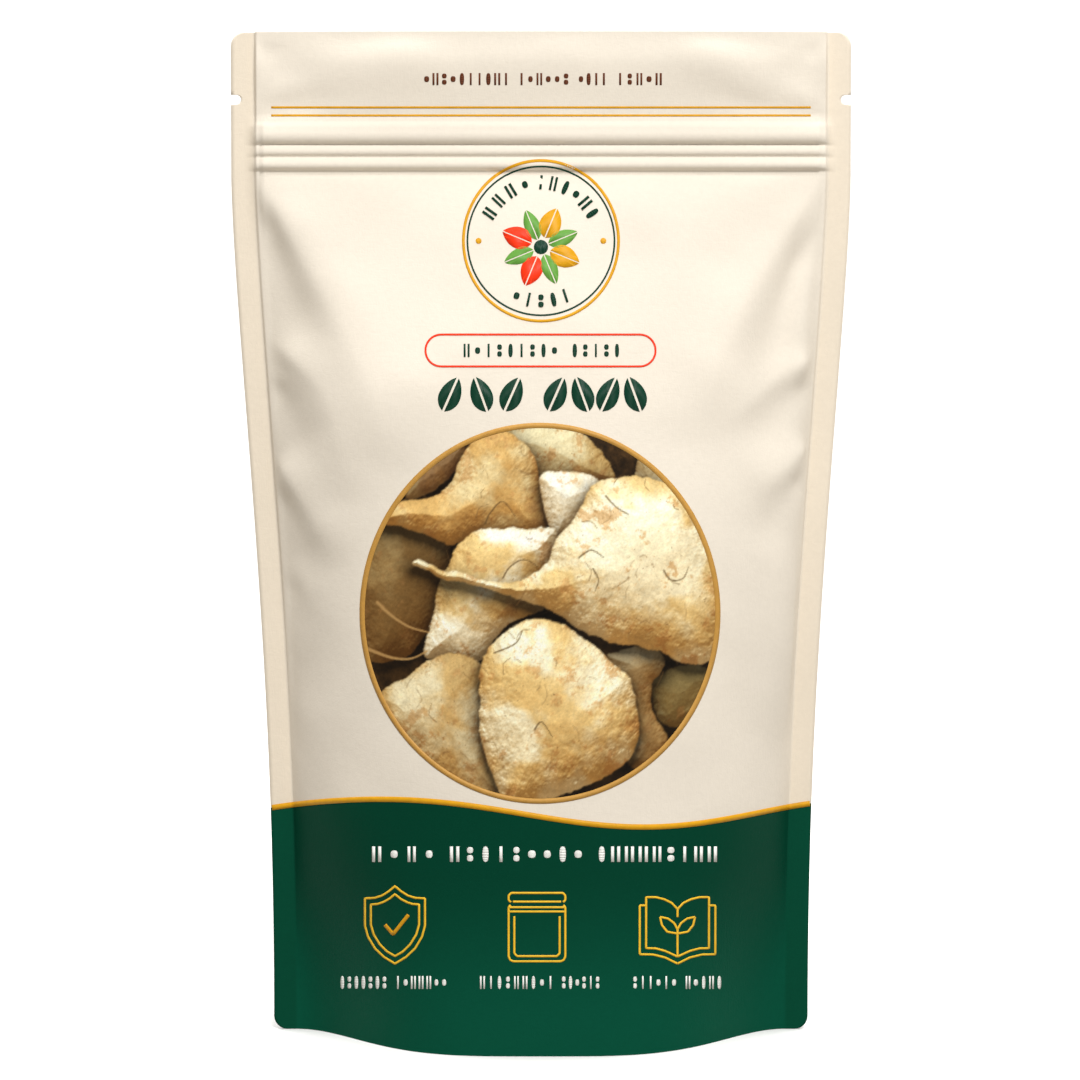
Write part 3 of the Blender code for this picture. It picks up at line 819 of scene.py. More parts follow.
def ink_piece(name, drawing, tree, ink, film=None, thick=INK, **settings):
    """Runs a tree on a drawing, keeps its result as a plain mesh object, and thickens it outwards."""
    film = film or front_film
    nodes = drawing.modifiers.new("ink", "NODES")
    nodes.node_group = tree
    identifiers = {item.name: item.identifier for item in tree.interface.items_tree if item.in_out == "INPUT"}
    for label, value in {"Film": film, "Ink": ink, **settings}.items():
        nodes[identifiers[label]] = value
    graph = bpy.context.evaluated_depsgraph_get()
    mesh = bpy.data.meshes.new_from_object(drawing.evaluated_get(graph))
    bpy.data.objects.remove(drawing)
    side = -1.0 if film is front_film else 1.0
    normals = np.empty(len(mesh.polygons) * 3)
    mesh.polygons.foreach_get("normal", normals)
    if normals[1::3].sum() * side < 0.0:
        mesh.flip_normals()
    mesh.shade_smooth()
    mesh.name = name
    made = show(name, mesh)
    if thick:
        coat = made.modifiers.new("coat", "SOLIDIFY")
        coat.thickness = thick
        coat.offset = 1.0
    PRINTS.append(made)
    return made


PRINTS = []


def ring(centre, radii, count=96):
    """A closed path round an ellipse."""
    turns = np.linspace(0.0, 2.0 * np.pi, count, endpoint=False)
    return [(centre[0] + radii[0] * math.cos(turn), centre[1] + radii[1] * math.sin(turn)) for turn in turns]


def smooth_path(points, closed=True, steps=8):
    """A Catmull-Rom curve through the points."""
    points = np.array(points, float)
    count = len(points)
    ends = count if closed else count - 1
    path = []
    for index in range(ends):
        near = np.arange(index - 1, index + 3)
        a, b, c, d = points[near % count if closed else np.clip(near, 0, count - 1)]
        for share in np.arange(steps) / steps:
            bend = (2 * a - 5 * b + 4 * c - d) * share**2
            path.append(0.5 * (2 * b + (c - a) * share + bend + (3 * b - a - 3 * c + d) * share**3))
    if not closed:
        path.append(points[-1])
    return [tuple(place) for place in path]


INK_ROUGHNESS = 0.4
INK_SHINE = 0.15


def ink_colour(name, colour):
    """An ink with slight pooling in its tone and a fine bump."""
    made, tree, surface = shader(name)
    place = on_object(tree)
    pooled = between(tree, noise(tree, place, 600.0, 3.0, 0.6), *MIDDLE, 0.93, 1.05)
    set_tone(tree, surface, colour, pooled)
    set_bump(tree, surface, noise(tree, place, 1400.0), 0.1)
    surface.inputs["Roughness"].default_value = INK_ROUGHNESS
    surface.inputs["Specular IOR Level"].default_value = INK_SHINE
    return made


GOLD = ink_colour("ink_gold", (0.76, 0.37, 0.010))
PALE_GOLD = ink_colour("ink_pale_gold", (0.97, 0.58, 0.035))
FRAME_GOLD = ink_colour("ink_frame_gold", (0.58, 0.31, 0.068))
DARK_GREEN = ink_colour("ink_dark_green", (0.0020, 0.042, 0.021))
LEAF_GREEN = ink_colour("ink_leaf_green", (0.145, 0.375, 0.060))
RED = ink_colour("ink_red", (1.0, 0.045, 0.008))
BROWN = ink_colour("ink_brown", (0.135, 0.036, 0.012))
OFF_WHITE = ink_colour("ink_off_white", (0.97, 0.98, 0.94))
print("inks mixed")

# %% Gold lines: the wave, the header's pair, and the badge's rings
WAVE_REACH = 56.9
WAVE_WIDTH = 1.15 * MM
HEADER_REACH = 56.6
HEADER_LINES = (192.75, 194.45)
BADGE = (0.0, 166.5)

wave_x = np.linspace(-WAVE_REACH, WAVE_REACH, 120)
wave_line = [(x, float(np.polyval(wave_terms(), x / WAVE_SCALE))) for x in wave_x]
ink_piece("wave_line", drawing_curve("wave", [wave_line], False), STROKES, GOLD, Width=WAVE_WIDTH)
header_paths = [[(-HEADER_REACH, height), (HEADER_REACH, height)] for height in HEADER_LINES]
ink_piece("header_lines", drawing_curve("header", header_paths, False), STROKES, GOLD, Width=0.42 * MM)
for name, radii, ink, width in (
    ("badge_outer_ring", (16.3, 16.8), GOLD, 0.6),
    ("badge_inner_ring", (15.45, 15.6), DARK_GREEN, 0.36),
):
    ink_piece(name, drawing_curve("badge", [ring(BADGE, radii)], True), STROKES, ink, Width=width * MM)
side_dots = [ring((x, BADGE[1]), (0.62, 0.62), 20) for x in (-13.1, 13.1)]
ink_piece("badge_dots", drawing_curve("badge", side_dots, True), FILLS, GOLD)
print(len(PRINTS), "prints so far")

# %% [markdown]
# ## Marks where the pouch has words
# A shared part carries no words. Each word becomes a row of small neutral marks, one for each letter, so
# the print keeps its weight and rhythm. The marks are bars, beans and dots, none of them a letter.

# %% The mark shapes, one unit tall
BAR = 0.14


def mark_shape(name, quads):
    """A mark from four-cornered faces, in a collection that isn't shown."""
    places = [(x, y, 0.0) for quad in quads for x, y in quad]
    mesh = bpy.data.meshes.new(name)
    mesh.from_pydata(places, [], [tuple(range(4 * index, 4 * index + 4)) for index in range(len(quads))])
    mesh.validate()
    MARK_SHAPES.objects.link(bpy.data.objects.new(name, mesh))


def upright(x):
    """One upright bar about x."""
    return ((x - BAR / 2, -0.5), (x + BAR / 2, -0.5), (x + BAR / 2, 0.5), (x - BAR / 2, 0.5))


def bean(y, half_width, half_height, count=10):
    """A round-ended block about y, as four-cornered slices."""
    turns = np.linspace(-np.pi / 2, np.pi / 2, count)
    edge = [(half_width * math.cos(turn) ** 0.6, y + half_height * math.sin(turn)) for turn in turns]
    pairs = zip(edge[:-1], edge[1:])
    return [((-low[0], low[1]), low, high, (-high[0], high[1])) for low, high in pairs]


MARK_SHAPES = bpy.data.collections.new("mark_shapes")
mark_shape("mark_a_bean", bean(0.0, 0.15, 0.5))
mark_shape("mark_b_dots", bean(0.26, 0.16, 0.2) + bean(-0.26, 0.16, 0.2))
mark_shape("mark_c_pair", [upright(-0.14), upright(0.14)])
mark_shape("mark_d_bar", [upright(0.0)])
mark_shape("mark_e_half", bean(0.0, 0.17, 0.24))

# %% Rows of marks
def row_of_marks(name, words, middle, size, ink, aspect, seed):
    """Marks for words, each (start, end, number of marks), along the height middle."""
    paths = []
    for start, end, count in words:
        paths.append([(start + (end - start) * (index + 0.5) / count, middle) for index in range(count)])
    drawing = drawing_curve(name, paths, False)
    return ink_piece(name, drawing, MARKS, ink, Marks=MARK_SHAPES, Size=size * MM, Aspect=aspect, Seed=seed)


HEADER_WORDS = ((-24.9, -6.4, 10), (-5.0, 6.2, 6), (7.6, 14.0, 4), (15.6, 25.7, 5))
PILL_WORDS = ((-16.8, 4.0, 9), (6.0, 17.1, 5))
SLOGAN_WORDS = ((-36.6, -21.8, 4), (-19.9, 9.5, 9), (11.4, 37.7, 9))
LABEL_WORDS = ((-42.8, -32.4, 7), (-31.1, -19.7, 7), (-13.3, 2.9, 9), (4.1, 12.7, 6), (19.1, 29.0, 6),
               (30.3, 38.6, 5))
row_of_marks("header_marks", HEADER_WORDS, 200.35, 2.5, BROWN, 1.25, 3)
row_of_marks("pill_marks", PILL_WORDS, 143.5, 2.8, DARK_GREEN, 1.15, 5)
row_of_marks("slogan_marks", SLOGAN_WORDS, 37.1, 3.3, OFF_WHITE, 1.45, 7)
row_of_marks("label_marks", LABEL_WORDS, 9.8, 2.75, OFF_WHITE, 0.95, 11)


def arc(radius, start, end, count):
    """Points round the badge's centre from one angle to another."""
    turns = np.radians(np.linspace(start, end, count))
    return [(BADGE[0] + radius * math.cos(turn), BADGE[1] + radius * math.sin(turn)) for turn in turns]


badge_arcs = [arc(12.2, 152, 106, 4), arc(12.2, 90, 28, 6), arc(12.6, 246, 294, 5)]
ink_piece("badge_marks", drawing_curve("badge", badge_arcs, False), MARKS, DARK_GREEN,
          Marks=MARK_SHAPES, Size=2.9 * MM, Aspect=1.35, Seed=4, Lift=0.14 * MM)
print(len(PRINTS), "prints so far")

# %% [markdown]
# ## Fills: the title's leaves, the pill and the badge's flower
# The title becomes seven bold leaves, three and four, each in two halves with a gap for the midrib. The
# badge carries a plain eight-petalled flower. A leaf could be cut from a mesh by hand, but a closed curve
# that is filled needs only its outline, so one half drawn once serves every leaf and petal.

# %% Leaves, pill and flower
LEAF_HALF = ((0.0, 0.0), (0.30, 0.12), (0.50, 0.34), (0.46, 0.62), (0.24, 0.86), (0.0, 1.0))


def leaf_halves(centre, height, width, lean, gap):
    """Two closed halves of a leaf that stands on its tip, turned by lean degrees."""
    halves = []
    edge = smooth_path(LEAF_HALF, closed=False, steps=5)
    turn = math.radians(lean)
    for side in (-1, 1):
        half = []
        for share, rise in edge:
            x, y = side * (gap / 2 + share * width), (rise - 0.5) * height
            half.append((centre[0] + x * math.cos(turn) - y * math.sin(turn),
                         centre[1] + x * math.sin(turn) + y * math.cos(turn)))
        halves.append(half)
    return halves


def title_leaf(index, centre):
    """One leaf of a row, leaning left and right by turns."""
    return leaf_halves(centre, 7.6, 4.0, (-24, 20)[index % 2], 0.5)


title_leaves = []
for start, end, count in ((-22.3, -2.9, 3), (0.4, 22.5, 4)):
    for index in range(count):
        middle = start + (end - start) * (index + 0.5) / count
        title_leaves += title_leaf(index, (middle, 134.25))
ink_piece("title_leaves", drawing_curve("title", title_leaves, True), FILLS, DARK_GREEN)


def rounded_box(centre, half_width, half_height, radius):
    """A closed path round a box with round corners."""
    path = []
    for turn in range(4):
        corner_x = centre[0] + (half_width - radius) * (1, -1, -1, 1)[turn]
        corner_y = centre[1] + (half_height - radius) * (1, 1, -1, -1)[turn]
        for step in range(13):
            angle = math.radians(90 * turn + 7.5 * step)
            path.append((corner_x + radius * math.cos(angle), corner_y + radius * math.sin(angle)))
    return path


pill = rounded_box((-0.1, 143.5), 24.2, 3.35, 3.3)
ink_piece("pill_outline", drawing_curve("pill", [pill], True), STROKES, RED, Width=0.42 * MM)

FLOWER = (0.0, 165.2)
# Each ink of the petals: how far out they stand and how wide a half is, in mm.
PETAL_INKS = {"gold": (GOLD, 5.4, 4.2), "green": (LEAF_GREEN, 5.0, 3.0), "red": (RED, 5.4, 4.2)}
petals = {name: [] for name in PETAL_INKS}
for index, name in enumerate(("gold", "green", "red", "green", "red", "green", "gold", "green")):
    lean = 45.0 * index - 22.5
    turn = math.radians(lean)
    ink, reach, half_width = PETAL_INKS[name]
    centre = (FLOWER[0] - reach * math.sin(turn), FLOWER[1] + reach * math.cos(turn))
    petals[name] += leaf_halves(centre, 6.6, half_width, lean, 0.25)
for name, (ink, _, _) in PETAL_INKS.items():
    ink_piece("flower_" + name, drawing_curve("flower", petals[name], True), FILLS, ink)
ink_piece("flower_heart", drawing_curve("flower", [ring(FLOWER, (1.5, 1.5), 40)], True), FILLS, DARK_GREEN)
print(len(PRINTS), "prints so far")

# %% [markdown]
# ## The three icons
# A shield with a tick, a lidded jar and an open book with a sprout, all in one gold line of even width.
# They could be filled shapes with holes in them, but a path given to the stroke tree keeps the line's width
# even round every bend. The shield and the book are drawn as a right half and mirrored.

# %% Icons
def mirrored(centre, path):
    """A path drawn for the right half from top to bottom, closed over the left half."""
    right = [(centre + x, y) for x, y in path]
    return right + [(centre - x, y) for x, y in reversed(path) if x > 0.001]


def both_sides(centre, path):
    """A path and its mirror image as two open paths."""
    return [[(centre + side * x, y) for x, y in path] for side in (1, -1)]


SHIELD, JAR, BOOK = -30.9, -0.85, 28.9
ICON_LINE = {"Width": 0.44 * MM, "Step": 0.25 * MM}
outer_shield = ((0, 30.3), (1.3, 29.2), (2.7, 28.3), (4.3, 27.8), (6.35, 27.7), (6.35, 21.9), (5.7, 19.5),
                (4.2, 17.0), (2.3, 15.2), (0, 13.8))
inner_shield = ((0, 28.6), (1.2, 27.6), (2.5, 26.9), (3.7, 26.5), (5.1, 26.4), (5.1, 22.1), (4.5, 20.0),
                (3.2, 17.9), (1.7, 16.4), (0, 15.4))
icon_loops = [mirrored(SHIELD, outer_shield), mirrored(SHIELD, inner_shield)]
lid = ((-5.5, 26.9), (-6.0, 27.3), (-6.0, 28.3), (-5.5, 28.85), (5.5, 28.85), (6.0, 28.3), (6.0, 27.3),
       (5.5, 26.9))
glass = ((-5.6, 26.3), (-6.0, 25.8), (-6.0, 15.4), (-5.7, 14.6), (-5.0, 14.3), (5.0, 14.3), (5.7, 14.6),
         (6.0, 15.4), (6.0, 25.8), (5.6, 26.3))
inner_glass = ((-4.8, 23.9), (-4.8, 16.0), (-4.2, 15.4), (4.2, 15.4), (4.8, 16.0), (4.8, 23.9))
rims = [((-5.1, 27.0), (5.1, 27.0)), ((-6.0, 25.8), (6.0, 25.8)), ((-6.0, 24.9), (6.0, 24.9))]
icon_lines = [[(JAR + x, y) for x, y in path] for path in (lid, glass, inner_glass, *rims)]
icon_lines += [[(BOOK, 25.4), (BOOK, 23.7)], [(BOOK, 21.2), (BOOK, 15.3)]]
page = ((0.0, 25.4), (1.2, 26.7), (2.8, 27.5), (4.6, 27.95), (6.65, 27.95), (6.65, 17.1), (4.6, 17.05),
        (2.6, 16.5), (0.0, 15.3))
cover = ((6.65, 26.2), (8.0, 26.2), (8.0, 15.8), (5.2, 15.75), (2.6, 15.1), (0.0, 13.8))
leaf_top = ((0.0, 21.1), (0.7, 22.4), (2.0, 23.4), (3.7, 23.75))
leaf_foot = ((3.7, 23.75), (3.3, 22.0), (2.2, 20.6), (0.0, 20.2))
for path in (page, cover, leaf_top, leaf_foot):
    icon_lines += both_sides(BOOK, path)
ink_piece("icon_loops", drawing_curve("icons", icon_loops, True), STROKES, PALE_GOLD, **ICON_LINE)
ink_piece("icon_lines", drawing_curve("icons", icon_lines, False), STROKES, PALE_GOLD, **ICON_LINE)
tick = [(SHIELD - 2.1, 22.1), (SHIELD - 0.4, 20.1), (SHIELD + 2.85, 24.2)]
ink_piece("icon_tick", drawing_curve("icons", [tick], False), STROKES, GOLD, Width=0.75 * MM, Step=0.25 * MM)
print(len(PRINTS), "prints so far")

# %% [markdown]
# ## The picture of roots
# The oval holds a print of a heap of pale tuberous roots. It is painted here from scratch as a painter
# would: far roots first, each one an outline that is swollen by how deep a point lies inside it, lit from
# above, and dropped on what is behind it with a soft contact shadow. Noise gives the blotched skin, specks
# and creases, and thin strokes the hair roots. Outlines are in shares of the oval's half sizes.

# %% Noise, distance inside an outline, and strokes
PICTURE_SIDE = 460
PAPER_LINE = np.linspace(-1.04, 1.04, PICTURE_SIDE)
PAPER_X, PAPER_Y = np.meshgrid(PAPER_LINE, PAPER_LINE)
GRID_STEP = PAPER_LINE[1] - PAPER_LINE[0]


def cloud(seed, power, coarsest=1.0):
    """Noise over the picture with mean 0 and spread 1: a higher power is smoother."""
    square = (PICTURE_SIDE, PICTURE_SIDE)
    white = np.fft.rfft2(np.random.default_rng(seed).standard_normal(square))
    down, across = np.fft.fftfreq(PICTURE_SIDE)[:, None], np.fft.rfftfreq(PICTURE_SIDE)[None, :]
    rank = np.hypot(down, across) * PICTURE_SIDE
    made = np.fft.irfft2(white / np.maximum(rank, coarsest) ** power * (rank > 0), s=square)
    return made / made.std()


def away_from(x, y, start, run):
    """Distance of each place from a straight stretch."""
    share = np.clip(((x - start[0]) * run[0] + (y - start[1]) * run[1]) / max(run @ run, 1e-9), 0.0, 1.0)
    return np.hypot(x - start[0] - share * run[0], y - start[1] - share * run[1])


WOBBLE = (cloud(40, 1.6, 6.0) * 0.006, cloud(41, 1.6, 6.0) * 0.006)


def depth_inside(outline):
    """How far each place of the picture lies inside a closed outline, negative outside it."""
    path = np.array(smooth_path(outline, True, 5))
    x, y = PAPER_X + WOBBLE[0], PAPER_Y + WOBBLE[1]
    nearest = np.full(x.shape, 9.0)
    inside = np.zeros(x.shape, bool)
    for start, end in zip(path, np.roll(path, -1, axis=0)):
        run = end - start
        nearest = np.minimum(nearest, away_from(x, y, start, run))
        if start[1] != end[1]:
            crossed = (start[1] > y) != (end[1] > y)
            inside ^= crossed & (x < start[0] + (y - start[1]) * run[0] / run[1])
    return np.where(inside, nearest, -nearest)


def paint_stroke(canvas, points, width, colour, strength):
    """A thin tapering stroke along a smooth path."""
    path = np.array(smooth_path(points, False, 6))
    low, high = path.min(axis=0) - 3 * width, path.max(axis=0) + 3 * width
    columns = slice(*np.searchsorted(PAPER_LINE, (low[0], high[0])))
    rows = slice(*np.searchsorted(PAPER_LINE, (low[1], high[1])))
    x, y = PAPER_X[rows, columns], PAPER_Y[rows, columns]
    cover = np.zeros(x.shape)
    for index in range(len(path) - 1):
        away = away_from(x, y, path[index], path[index + 1] - path[index])
        thin = width * (1.0 - 0.6 * index / len(path))
        cover = np.maximum(cover, 1.0 - smooth_step(away, 0.4 * thin, 1.1 * thin))
    cover = (cover * strength)[..., None]
    canvas[rows, columns] = canvas[rows, columns] * (1.0 - cover) + np.array(colour) * cover


print("picture grid", PICTURE_SIDE, "square")

# %% The outlines of the roots, from the back of the heap to the front
EARTH = (0.30, 0.21, 0.11)
ROOTS = (
    # Each root: outline, tan, cream, swelling, brightness, share of cream.
    (((-0.97, 0.48), (-0.70, 0.48), (-0.51, 0.36), (-0.51, 0.11), (-0.63, -0.10), (-0.77, -0.24),
      (-0.97, -0.24), (-1.03, 0.11)),
     (0.66, 0.50, 0.28), (0.80, 0.66, 0.42), 0.26, 0.80, 0.30),
    (((-0.77, 0.61), (-0.75, 0.73), (-0.59, 0.85), (-0.43, 0.91), (-0.44, 0.80), (-0.53, 0.72),
      (-0.64, 0.64)),
     (0.72, 0.55, 0.36), (0.86, 0.74, 0.52), 0.12, 0.80, 0.30),
    (((0.64, -0.37), (0.74, -0.29), (0.91, -0.27), (1.00, -0.36), (0.93, -0.51), (0.79, -0.61),
      (0.69, -0.58), (0.64, -0.48)),
     (0.66, 0.56, 0.34), (0.80, 0.74, 0.54), 0.18, 0.86, 0.40),
    (((-0.20, 0.96), (-0.06, 1.03), (0.13, 1.01), (0.29, 0.93), (0.39, 0.80), (0.40, 0.70), (0.20, 0.66),
      (0.00, 0.72), (-0.13, 0.82)),
     (0.84, 0.71, 0.46), (0.93, 0.87, 0.68), 0.24, 0.98, 0.60),
    (((0.55, 0.85), (0.68, 0.79), (0.86, 0.63), (0.80, 0.50), (0.63, 0.58), (0.54, 0.70)),
     (0.80, 0.70, 0.50), (0.90, 0.83, 0.66), 0.18, 0.92, 0.50),
    (((-0.93, 0.50), (-0.80, 0.60), (-0.63, 0.62), (-0.50, 0.72), (-0.43, 0.85), (-0.34, 0.95),
      (-0.20, 0.97), (-0.07, 0.90), (-0.01, 0.76), (0.03, 0.61), (0.05, 0.48), (-0.03, 0.40),
      (-0.20, 0.42), (-0.37, 0.42), (-0.46, 0.37), (-0.51, 0.34), (-0.60, 0.40), (-0.77, 0.47)),
     (0.87, 0.70, 0.42), (0.95, 0.86, 0.64), 0.27, 1.00, 0.25),
    (((0.01, 0.74), (0.16, 0.76), (0.31, 0.73), (0.33, 0.62), (0.22, 0.50), (0.13, 0.40), (0.08, 0.38),
      (0.04, 0.50), (0.01, 0.62)),
     (0.90, 0.80, 0.60), (0.97, 0.94, 0.84), 0.20, 1.04, 0.80),
    (((-0.50, 0.30), (-0.44, 0.39), (-0.33, 0.45), (-0.17, 0.46), (-0.05, 0.46), (0.09, 0.44),
      (0.08, 0.30), (0.00, 0.17), (0.03, 0.03), (-0.14, -0.04), (-0.26, -0.14), (-0.33, -0.25),
      (-0.43, -0.28), (-0.54, -0.23), (-0.65, -0.24), (-0.63, -0.10), (-0.59, 0.06), (-0.56, 0.19)),
     (0.89, 0.76, 0.50), (0.98, 0.95, 0.84), 0.26, 1.05, 0.75),
    (((-0.92, -0.45), (-0.77, -0.35), (-0.57, -0.22), (-0.46, -0.21), (-0.33, -0.27), (-0.28, -0.43),
      (-0.22, -0.70), (-0.16, -0.99), (-0.37, -1.02), (-0.65, -0.86), (-0.85, -0.66)),
     (0.86, 0.71, 0.45), (0.95, 0.88, 0.70), 0.30, 0.97, 0.45),
    (((0.38, -0.22), (0.60, -0.18), (0.70, -0.26), (0.64, -0.39), (0.64, -0.51), (0.71, -0.63),
      (0.71, -0.72), (0.59, -0.84), (0.49, -0.80), (0.50, -0.56), (0.46, -0.37)),
     (0.80, 0.64, 0.40), (0.90, 0.80, 0.60), 0.17, 0.88, 0.30),
    (((-0.72, 0.255), (-0.70, 0.285), (-0.49, 0.225), (-0.26, 0.175), (-0.06, 0.20), (0.04, 0.28),
      (0.10, 0.40), (0.19, 0.52), (0.25, 0.64), (0.37, 0.72), (0.56, 0.73), (0.79, 0.67), (0.96, 0.49),
      (1.06, 0.19), (1.02, -0.16), (0.94, -0.26), (0.80, -0.26), (0.63, -0.20), (0.40, -0.14),
      (0.20, -0.07), (0.03, 0.03), (-0.14, 0.10), (-0.34, 0.135), (-0.51, 0.18), (-0.67, 0.235)),
     (0.90, 0.78, 0.53), (0.98, 0.94, 0.80), 0.40, 1.06, 0.70),
    (((-0.34, -0.30), (-0.29, -0.18), (-0.17, -0.08), (-0.03, -0.03), (0.13, -0.06), (0.27, -0.14),
      (0.39, -0.25), (0.51, -0.35), (0.54, -0.49), (0.56, -0.65), (0.50, -0.79), (0.34, -0.90),
      (0.16, -0.96), (-0.06, -1.03), (-0.20, -1.03), (-0.27, -0.86), (-0.33, -0.68), (-0.35, -0.49)),
     (0.90, 0.77, 0.51), (0.98, 0.94, 0.80), 0.42, 1.05, 0.65),
)
HAIRS = (
    ((-0.97, -0.19), (-0.84, -0.235), (-0.73, -0.24), (-0.64, -0.20)),
    ((-0.92, 0.06), (-0.84, -0.01), (-0.74, -0.07), (-0.63, -0.10)),
)
FINE_HAIRS = (
    ((-0.31, 0.48), (-0.28, 0.54), (-0.21, 0.60), (-0.14, 0.52)),
    ((-0.21, 0.19), (-0.17, 0.25), (-0.09, 0.29), (-0.01, 0.25)),
    ((-0.26, -0.21), (-0.14, -0.16), (-0.10, -0.09)),
    ((0.37, 0.63), (0.43, 0.57), (0.50, 0.53)),
    ((0.70, 0.23), (0.74, 0.18), (0.81, 0.19), (0.84, 0.25)),
    ((0.22, 0.30), (0.29, 0.34), (0.36, 0.30)),
    ((-0.03, -0.62), (0.01, -0.58), (0.07, -0.66)),
    ((0.30, 0.24), (0.33, 0.18), (0.31, 0.12)),
)
print(len(ROOTS), "roots,", len(HAIRS) + len(FINE_HAIRS), "hairs")

# %% The painting
SUN = np.array((-0.10, 0.68, 0.72)) / np.linalg.norm((-0.10, 0.68, 0.72))
SHADOW_ROWS = 9
SHADOW, SHADOW_SOFT = 0.62, 0.038
SPOT_TAN = (0.80, 0.60, 0.36)
SPECK_BROWN = (0.45, 0.31, 0.17)
HAIR_TAN = (0.74, 0.58, 0.36)
FINE_HAIR_BROWN = (0.36, 0.27, 0.15)
SCRATCH_BROWN = (0.45, 0.33, 0.19)
SCRATCHES = 70


def skin_of(order, tan, cream, creamy):
    """A root's skin before it is lit: tan and cream blotches, spots, unevenness and specks."""
    blotch = smooth_step(cloud(50 + order, 2.0, 4.0) + 1.6 * (creamy - 0.5), -0.9, 0.9)
    skin = np.array(tan) + (np.array(cream) - np.array(tan)) * blotch[..., None]
    spots = smooth_step(cloud(70 + order, 1.35, 7.0), 1.05, 1.6)[..., None] * 0.55
    skin = skin * (1.0 - spots) + np.array(SPOT_TAN) * spots
    skin *= (1.0 + 0.030 * cloud(90 + order, 1.0, 10.0))[..., None]
    specks = smooth_step(cloud(110 + order, 0.85, 24.0), 2.3, 3.0)[..., None] * 0.5
    return skin * (1.0 - specks) + np.array(SPECK_BROWN) * specks


def light_on(order, depth, swelling):
    """How much sun each place of a swollen root takes."""
    share = np.clip(depth / swelling, 0.0, 1.0)
    height = swelling * np.sqrt(1.0 - (1.0 - share) ** 2) * 0.75
    height += 0.0050 * cloud(10 + order, 2.5, 3.5) + 0.0005 * cloud(30 + order, 1.7, 14.0)
    rise_y, rise_x = np.gradient(height, GRID_STEP)
    lit = (SUN[2] - rise_x * SUN[0] - rise_y * SUN[1]) / np.sqrt(1.0 + rise_x**2 + rise_y**2)
    return np.clip(lit, 0.0, 1.0)


def paint_scratches(canvas):
    """Short bent scratches all over the heap."""
    chance = np.random.default_rng(77)
    for _ in range(SCRATCHES):
        place = chance.uniform(-0.85, 0.85, 2)
        way = chance.uniform(0.0, 2.0 * np.pi)
        bend = way + chance.uniform(-1.1, 1.1)
        length = chance.uniform(0.02, 0.06)
        middle = place + length * np.array((math.cos(way), math.sin(way)))
        end = middle + length * np.array((math.cos(bend), math.sin(bend)))
        paint_stroke(canvas, (place, middle, end), 0.0045, SCRATCH_BROWN, chance.uniform(0.2, 0.6))


def painted_roots():
    """The picture's colours as seen on paper, row 0 at the foot."""
    canvas = np.ones(PAPER_X.shape + (3,)) * np.array(EARTH)
    canvas *= (1.0 + 0.22 * cloud(1, 1.3, 3.0))[..., None]
    for order, (outline, tan, cream, swelling, bright, creamy) in enumerate(ROOTS):
        depth = depth_inside(outline)
        shadow = SHADOW * np.exp(np.minimum(np.roll(depth, -SHADOW_ROWS, axis=0), 0.0) / SHADOW_SOFT)
        canvas *= (1.0 - shadow * (depth < 0.02))[..., None] * np.array((1.0, 0.97, 0.93))**shadow[..., None]
        tone = np.clip(0.50 + 0.60 * light_on(order, depth, swelling), 0.0, 1.2)
        tone = np.stack([tone**0.65, tone**0.90, tone**1.30], axis=2) * bright
        cover = smooth_step(depth, -0.004, 0.006)[..., None]
        canvas = canvas * (1.0 - cover) + skin_of(order, tan, cream, creamy) * tone * cover
    for path in HAIRS:
        paint_stroke(canvas, path, 0.012, HAIR_TAN, 0.9)
    for path in FINE_HAIRS:
        paint_stroke(canvas, path, 0.006, FINE_HAIR_BROWN, 0.75)
    paint_scratches(canvas)
    return np.clip(canvas, 0.0, 1.0)


picture = painted_roots()
print("picture painted, mean", [round(float(value), 2) for value in picture.mean(axis=(0, 1))])

# %% The oval sheet that carries the picture, and its frame
OVAL = (-0.2, 88.05)
OVAL_HALF = (37.3, 39.5)
OVAL_CELLS = 300
FRAME_WIDTH = 1.1
FRAME_OUT = 0.2


def picture_sheet():
    """A flat oval grid with the picture as vertex colours."""
    line = np.linspace(-1.0, 1.0, OVAL_CELLS + 1)
    square_x, square_y = np.meshgrid(line, line)
    x = square_x * np.sqrt(1.0 - square_y**2 / 2.0)
    y = square_y * np.sqrt(1.0 - square_x**2 / 2.0)
    quads = grid_quads(OVAL_CELLS + 1, OVAL_CELLS + 1)
    places = np.stack([(OVAL[0] + x * OVAL_HALF[0]) * MM, (OVAL[1] + y * OVAL_HALF[1]) * MM, 0.0 * x], axis=2)
    mesh = bpy.data.meshes.new("picture")
    mesh.from_pydata(places.reshape(-1, 3).tolist(), [], quads.tolist())
    column = np.clip((x - PAPER_LINE[0]) / GRID_STEP, 0, PICTURE_SIDE - 1.001)
    row = np.clip((y - PAPER_LINE[0]) / GRID_STEP, 0, PICTURE_SIDE - 1.001)
    column_low, row_low = column.astype(int), row.astype(int)
    across, up = (column - column_low)[..., None], (row - row_low)[..., None]
    low = picture[row_low, column_low] * (1 - across) + picture[row_low, column_low + 1] * across
    high = picture[row_low + 1, column_low] * (1 - across) + picture[row_low + 1, column_low + 1] * across
    seen = low * (1 - up) + high * up
    linear = np.where(seen <= 0.04045, seen / 12.92, ((seen + 0.055) / 1.055) ** 2.4)
    layer = mesh.color_attributes.new("picture", "FLOAT_COLOR", "POINT")
    values = np.concatenate([linear, np.ones(linear.shape[:2] + (1,))], axis=2)
    layer.data.foreach_set("color", values.ravel().astype(np.float32))
    return show("picture_drawing", mesh)


